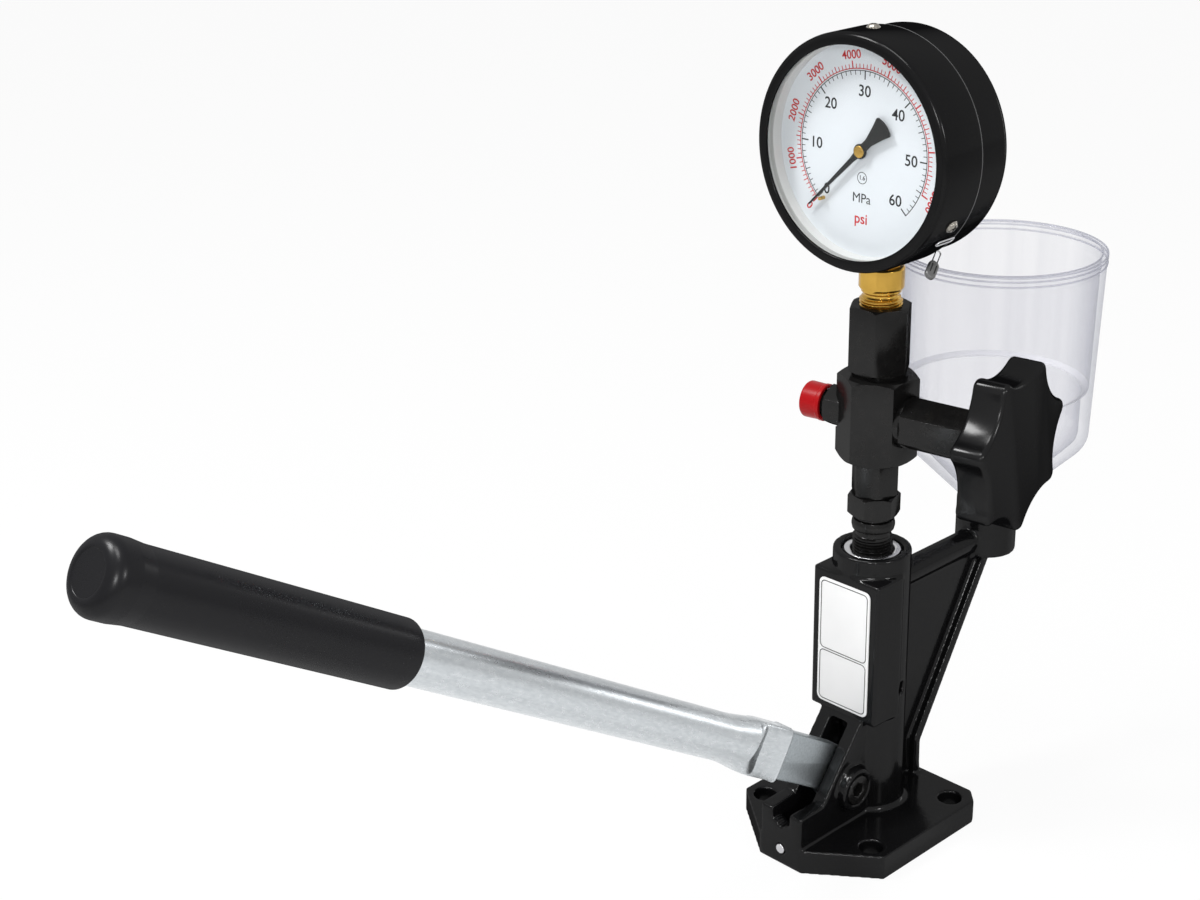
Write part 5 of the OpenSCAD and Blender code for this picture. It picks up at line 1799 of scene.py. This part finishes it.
@dataclass
class OilCup:
    """The clear cup on the rear boss."""

    foot_z: float = 142.2
    foot_r: float = 14.4
    neck_r: float = 8.0
    neck_long: float = 14.0
    bore_r: float = 4.0
    floor: float = 2.2
    floor_r: float = 12.0
    top_z: float = 265.0
    rim_r: float = 48.4
    rim_wall: float = 3.0
    low_r: float = 45.4
    bend_r: float = 9.0
    bend_z: float = 176.93
    ledge_r: float = 43.9
    ledge_z: float = 199.0
    ledge: float = 3.4
    low_wall: float = 5.0
    steps: int = 144
    bead: float = 0.4

    def bend(self, wall: float) -> list[Corner]:
        """Round between the cone and the side.

        Args:
            wall: How far inside the outer skin.

        Returns:
            The points, from the cone upward.
        """
        r = self.bend_r - wall
        turns = [math.radians(t) for t in range(-45, 1, 9)]
        return [(self.low_r - self.bend_r + r * math.cos(t), self.bend_z + r * math.sin(t)) for t in turns]

    def build(self, bench: Bench) -> None:
        """Make the pieces of the cup.

        Args:
            bench: Bench that finishes them.
        """
        z, top, rim = self.foot_z, self.top_z, self.rim_r
        tip, floor, inside = z - self.neck_long, z + self.floor, rim - self.rim_wall
        groove, bulge = rim - 0.5, rim - 0.05
        outer: list[Corner] = [(self.neck_r, tip, 0.6), (self.neck_r, z), (self.foot_r, z, 1.0),
                               *self.bend(0.0), (groove, top - 7.0), (rim - 0.45, top - 5.6, 0.3),
                               (bulge, top - 5.3, 0.3), (bulge, top - 4.3, 0.3), (groove, top - 3.9, 0.3),
                               (groove, top - 3.0, 0.3), (rim, top - 2.5, 0.4)]
        inner: list[Corner] = [(rim, top, 1.2), (inside, top, 1.0), (inside, top - 7.5, 0.8),
                               (inside - 0.4, top - 9.0, 0.8), (self.ledge_r, self.ledge_z, 0.6),
                               (self.ledge_r - self.ledge, self.ledge_z - 1.6, 0.6),
                               *reversed(self.bend(self.low_wall)), (self.floor_r, floor, 1.5),
                               (self.bore_r, floor, 0.6), (self.bore_r, tip, 0.4)]
        cup = Shape.turned(outer + inner, self.steps)
        bench.piece("clear_cup", cup.place(CUP), Look.CLEAR_PLASTIC, nodes=["oil_cup"],
                    sharp=40.0)
        # Rim beads in a darker clear tint: the ridges, with painted shade lines along them.
        bench.piece("cup_beads", self.beads().place(CUP), Look.CLEAR_BEAD)
        # A whiter ring on the cup's inner ledge: the real step, with a painted highlight on it.
        low, r, wide = self.ledge_z, self.ledge_r, self.ledge
        step = Shape.turned([(r - wide, low - 1.9), (r - 0.2, low - 0.2), (r - 0.2, low + 0.5, 0.3),
                             (r - wide + 0.2, low - 1.1, 0.3)], self.steps)
        bench.piece("cup_ledge", step.place(CUP), Look.CLEAR_LEDGE)

    def beads(self) -> Shape:
        """Fine beads round the rim: they follow the moulded ridges, and their darker, less clear tint paints
        the dark lines the ridges show.

        Returns:
            The beads.
        """
        top, b = self.top_z, self.bead
        rings = Shape()
        rim = self.rim_r
        spots = ((rim - b, top - 0.6), (rim - b, top - 2.4), (rim - b, top - 4.8), (rim - 2.7, top - 0.5))
        for r, z in spots:
            rings.add(Shape.ring(r, z, b, self.steps))
        return rings


@dataclass(frozen=True)
class Lamp:
    """A soft lamp, in metres and watts."""

    name: str
    spot: Triple
    aim: Triple
    size: Pair
    watts: float

    def build(self) -> None:
        """Hang the lamp."""
        data = bpy.data.lights.new(self.name, "AREA")
        data.shape, data.energy = "RECTANGLE", self.watts
        data.size, data.size_y = self.size
        thing = bpy.data.objects.new(self.name, data)
        thing.location = self.spot
        thing.rotation_mode = "QUATERNION"
        thing.rotation_quaternion = (Vector(self.aim) - Vector(self.spot)).to_track_quat("-Z", "Y")
        bpy.context.scene.collection.objects.link(thing)


@dataclass
class Studio:
    """Camera, floor, world and lamps."""

    spot: Triple = (0.5190, -0.6542, 0.5289)
    heading: float = 46.69
    pitch: float = 22.08
    roll: float = -1.2
    lens: float = 59.97
    sensor: float = 36.0
    ambient: float = 0.4
    floor_half: float = 4000.0
    floor_drop: float = 0.1
    floor_glow: float = 0.93
    floor_mirror: float = 0.35
    world_mirror: float = 0.64
    lamps: tuple[Lamp, ...] = (
        Lamp("key", (-0.55, -0.6, 1.25), (0.0, -0.1, 0.2), (0.26, 0.36), 10.4),
        Lamp("fill", (0.78, -1.05, 0.85), (0.0, -0.1, 0.2), (0.22, 0.22), 4.4),
        Lamp("top", (-0.02, -0.38, 1.4), (0.0, -0.05, 0.2), (0.5, 0.26), 5.4),
        Lamp("side", (1.05, -0.05, 0.7), (0.0, 0.0, 0.2), (0.16, 0.16), 2.6),
        Lamp("rim", (0.3, 1.05, 0.31), (0.0, -0.15, 0.15), (0.1, 0.5), 0.8),
    )

    def camera(self) -> None:
        """Stand the camera where the photograph was taken."""
        a, p, r = (math.radians(v) for v in (self.heading, self.pitch, self.roll))
        right = Vector((math.cos(a), math.sin(a), 0))
        back = Vector((math.sin(a) * math.cos(p), -math.cos(a) * math.cos(p), math.sin(p)))
        up = back.cross(right)
        across = right * math.cos(r) + up * math.sin(r)
        upward = up * math.cos(r) - right * math.sin(r)
        data = bpy.data.cameras.new("camera")
        data.lens, data.sensor_width, data.sensor_fit = self.lens, self.sensor, "HORIZONTAL"
        data.clip_start, data.clip_end = 0.01, 50.0
        cam = bpy.data.objects.new("camera", data)
        turn = Matrix((across, upward, back)).transposed().to_4x4()
        cam.matrix_world = shift(*self.spot) @ turn
        bpy.context.scene.collection.objects.link(cam)
        bpy.context.scene.camera = cam

    def seen(self, recipe: Recipe, mirrored: float) -> Wire:
        """How far a ray sees the white set, 1 for the camera and through glass, less in mirrors, else 0.

        Args:
            recipe: Recipe that takes the nodes.
            mirrored: Share for mirror rays.

        Returns:
            The share.
        """
        first = recipe.node("ShaderNodeLightPath", out="Is Camera Ray")
        mirror = recipe.node("ShaderNodeLightPath", out="Is Glossy Ray")
        through = recipe.node("ShaderNodeLightPath", out="Is Transmission Ray")
        return first.at_least(through).at_least(mirror * mirrored)

    def floor(self) -> None:
        """A plain pale floor that keeps a soft shadow."""
        shape = Shape()
        bmesh.ops.create_grid(shape.bm, x_segments=1, y_segments=1, size=self.floor_half)
        material = bpy.data.materials.new("pale_floor")
        material.use_nodes = True
        recipe = Recipe(material.node_tree)
        matt = recipe.node("ShaderNodeBsdfDiffuse", values={"Color": (0.9, 0.9, 0.9, 1.0)})
        glow = recipe.node("ShaderNodeEmission", values={"Color": (1.0, 1.0, 1.0, 1.0), "Strength": 1.0})
        share = self.seen(recipe, self.floor_mirror) * self.floor_glow
        recipe.close("ShaderNodeOutputMaterial",
                     recipe.node("ShaderNodeMixShader", values={0: share, 1: matt, 2: glow}))
        mesh = shape.place(shift(z=-self.floor_drop)).mesh("floor")
        mesh.materials.append(material)
        plane = bpy.data.objects.new("floor", mesh)
        bpy.context.scene.collection.objects.link(plane)

    def world(self) -> None:
        """White to the eye, softer as light."""
        sky = bpy.data.worlds.new("studio")
        sky.use_nodes = True
        recipe = Recipe(sky.node_tree)
        strength = self.seen(recipe, self.world_mirror).between(self.ambient, 1.0)
        glow = recipe.node("ShaderNodeBackground", values={
            "Color": (1.0, 1.0, 1.0, 1.0), "Strength": strength})
        recipe.close("ShaderNodeOutputWorld", glow)
        bpy.context.scene.world = sky

    def build(self) -> None:
        """Set up the studio."""
        bpy.context.scene.view_settings.view_transform = "Standard"
        self.camera()
        self.floor()
        self.world()
        for lamp in self.lamps:
            lamp.build()


def main() -> None:
    """Build the tester, dress it and set the studio."""
    logging.basicConfig(level=logging.INFO, format="%(message)s")
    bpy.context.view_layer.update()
    bench = Bench()
    bench.dress_rest()
    springs = (PLUNGER_SPRING, DELIVERY_SPRING)
    for part in (Casting(), Lever(), Column(), *springs, ValveHead(), Gauge(), OilCup()):
        log.info("%s", type(part).__name__)
        part.build(bench)
    Studio().build()


if __name__ == "__main__":
    main()
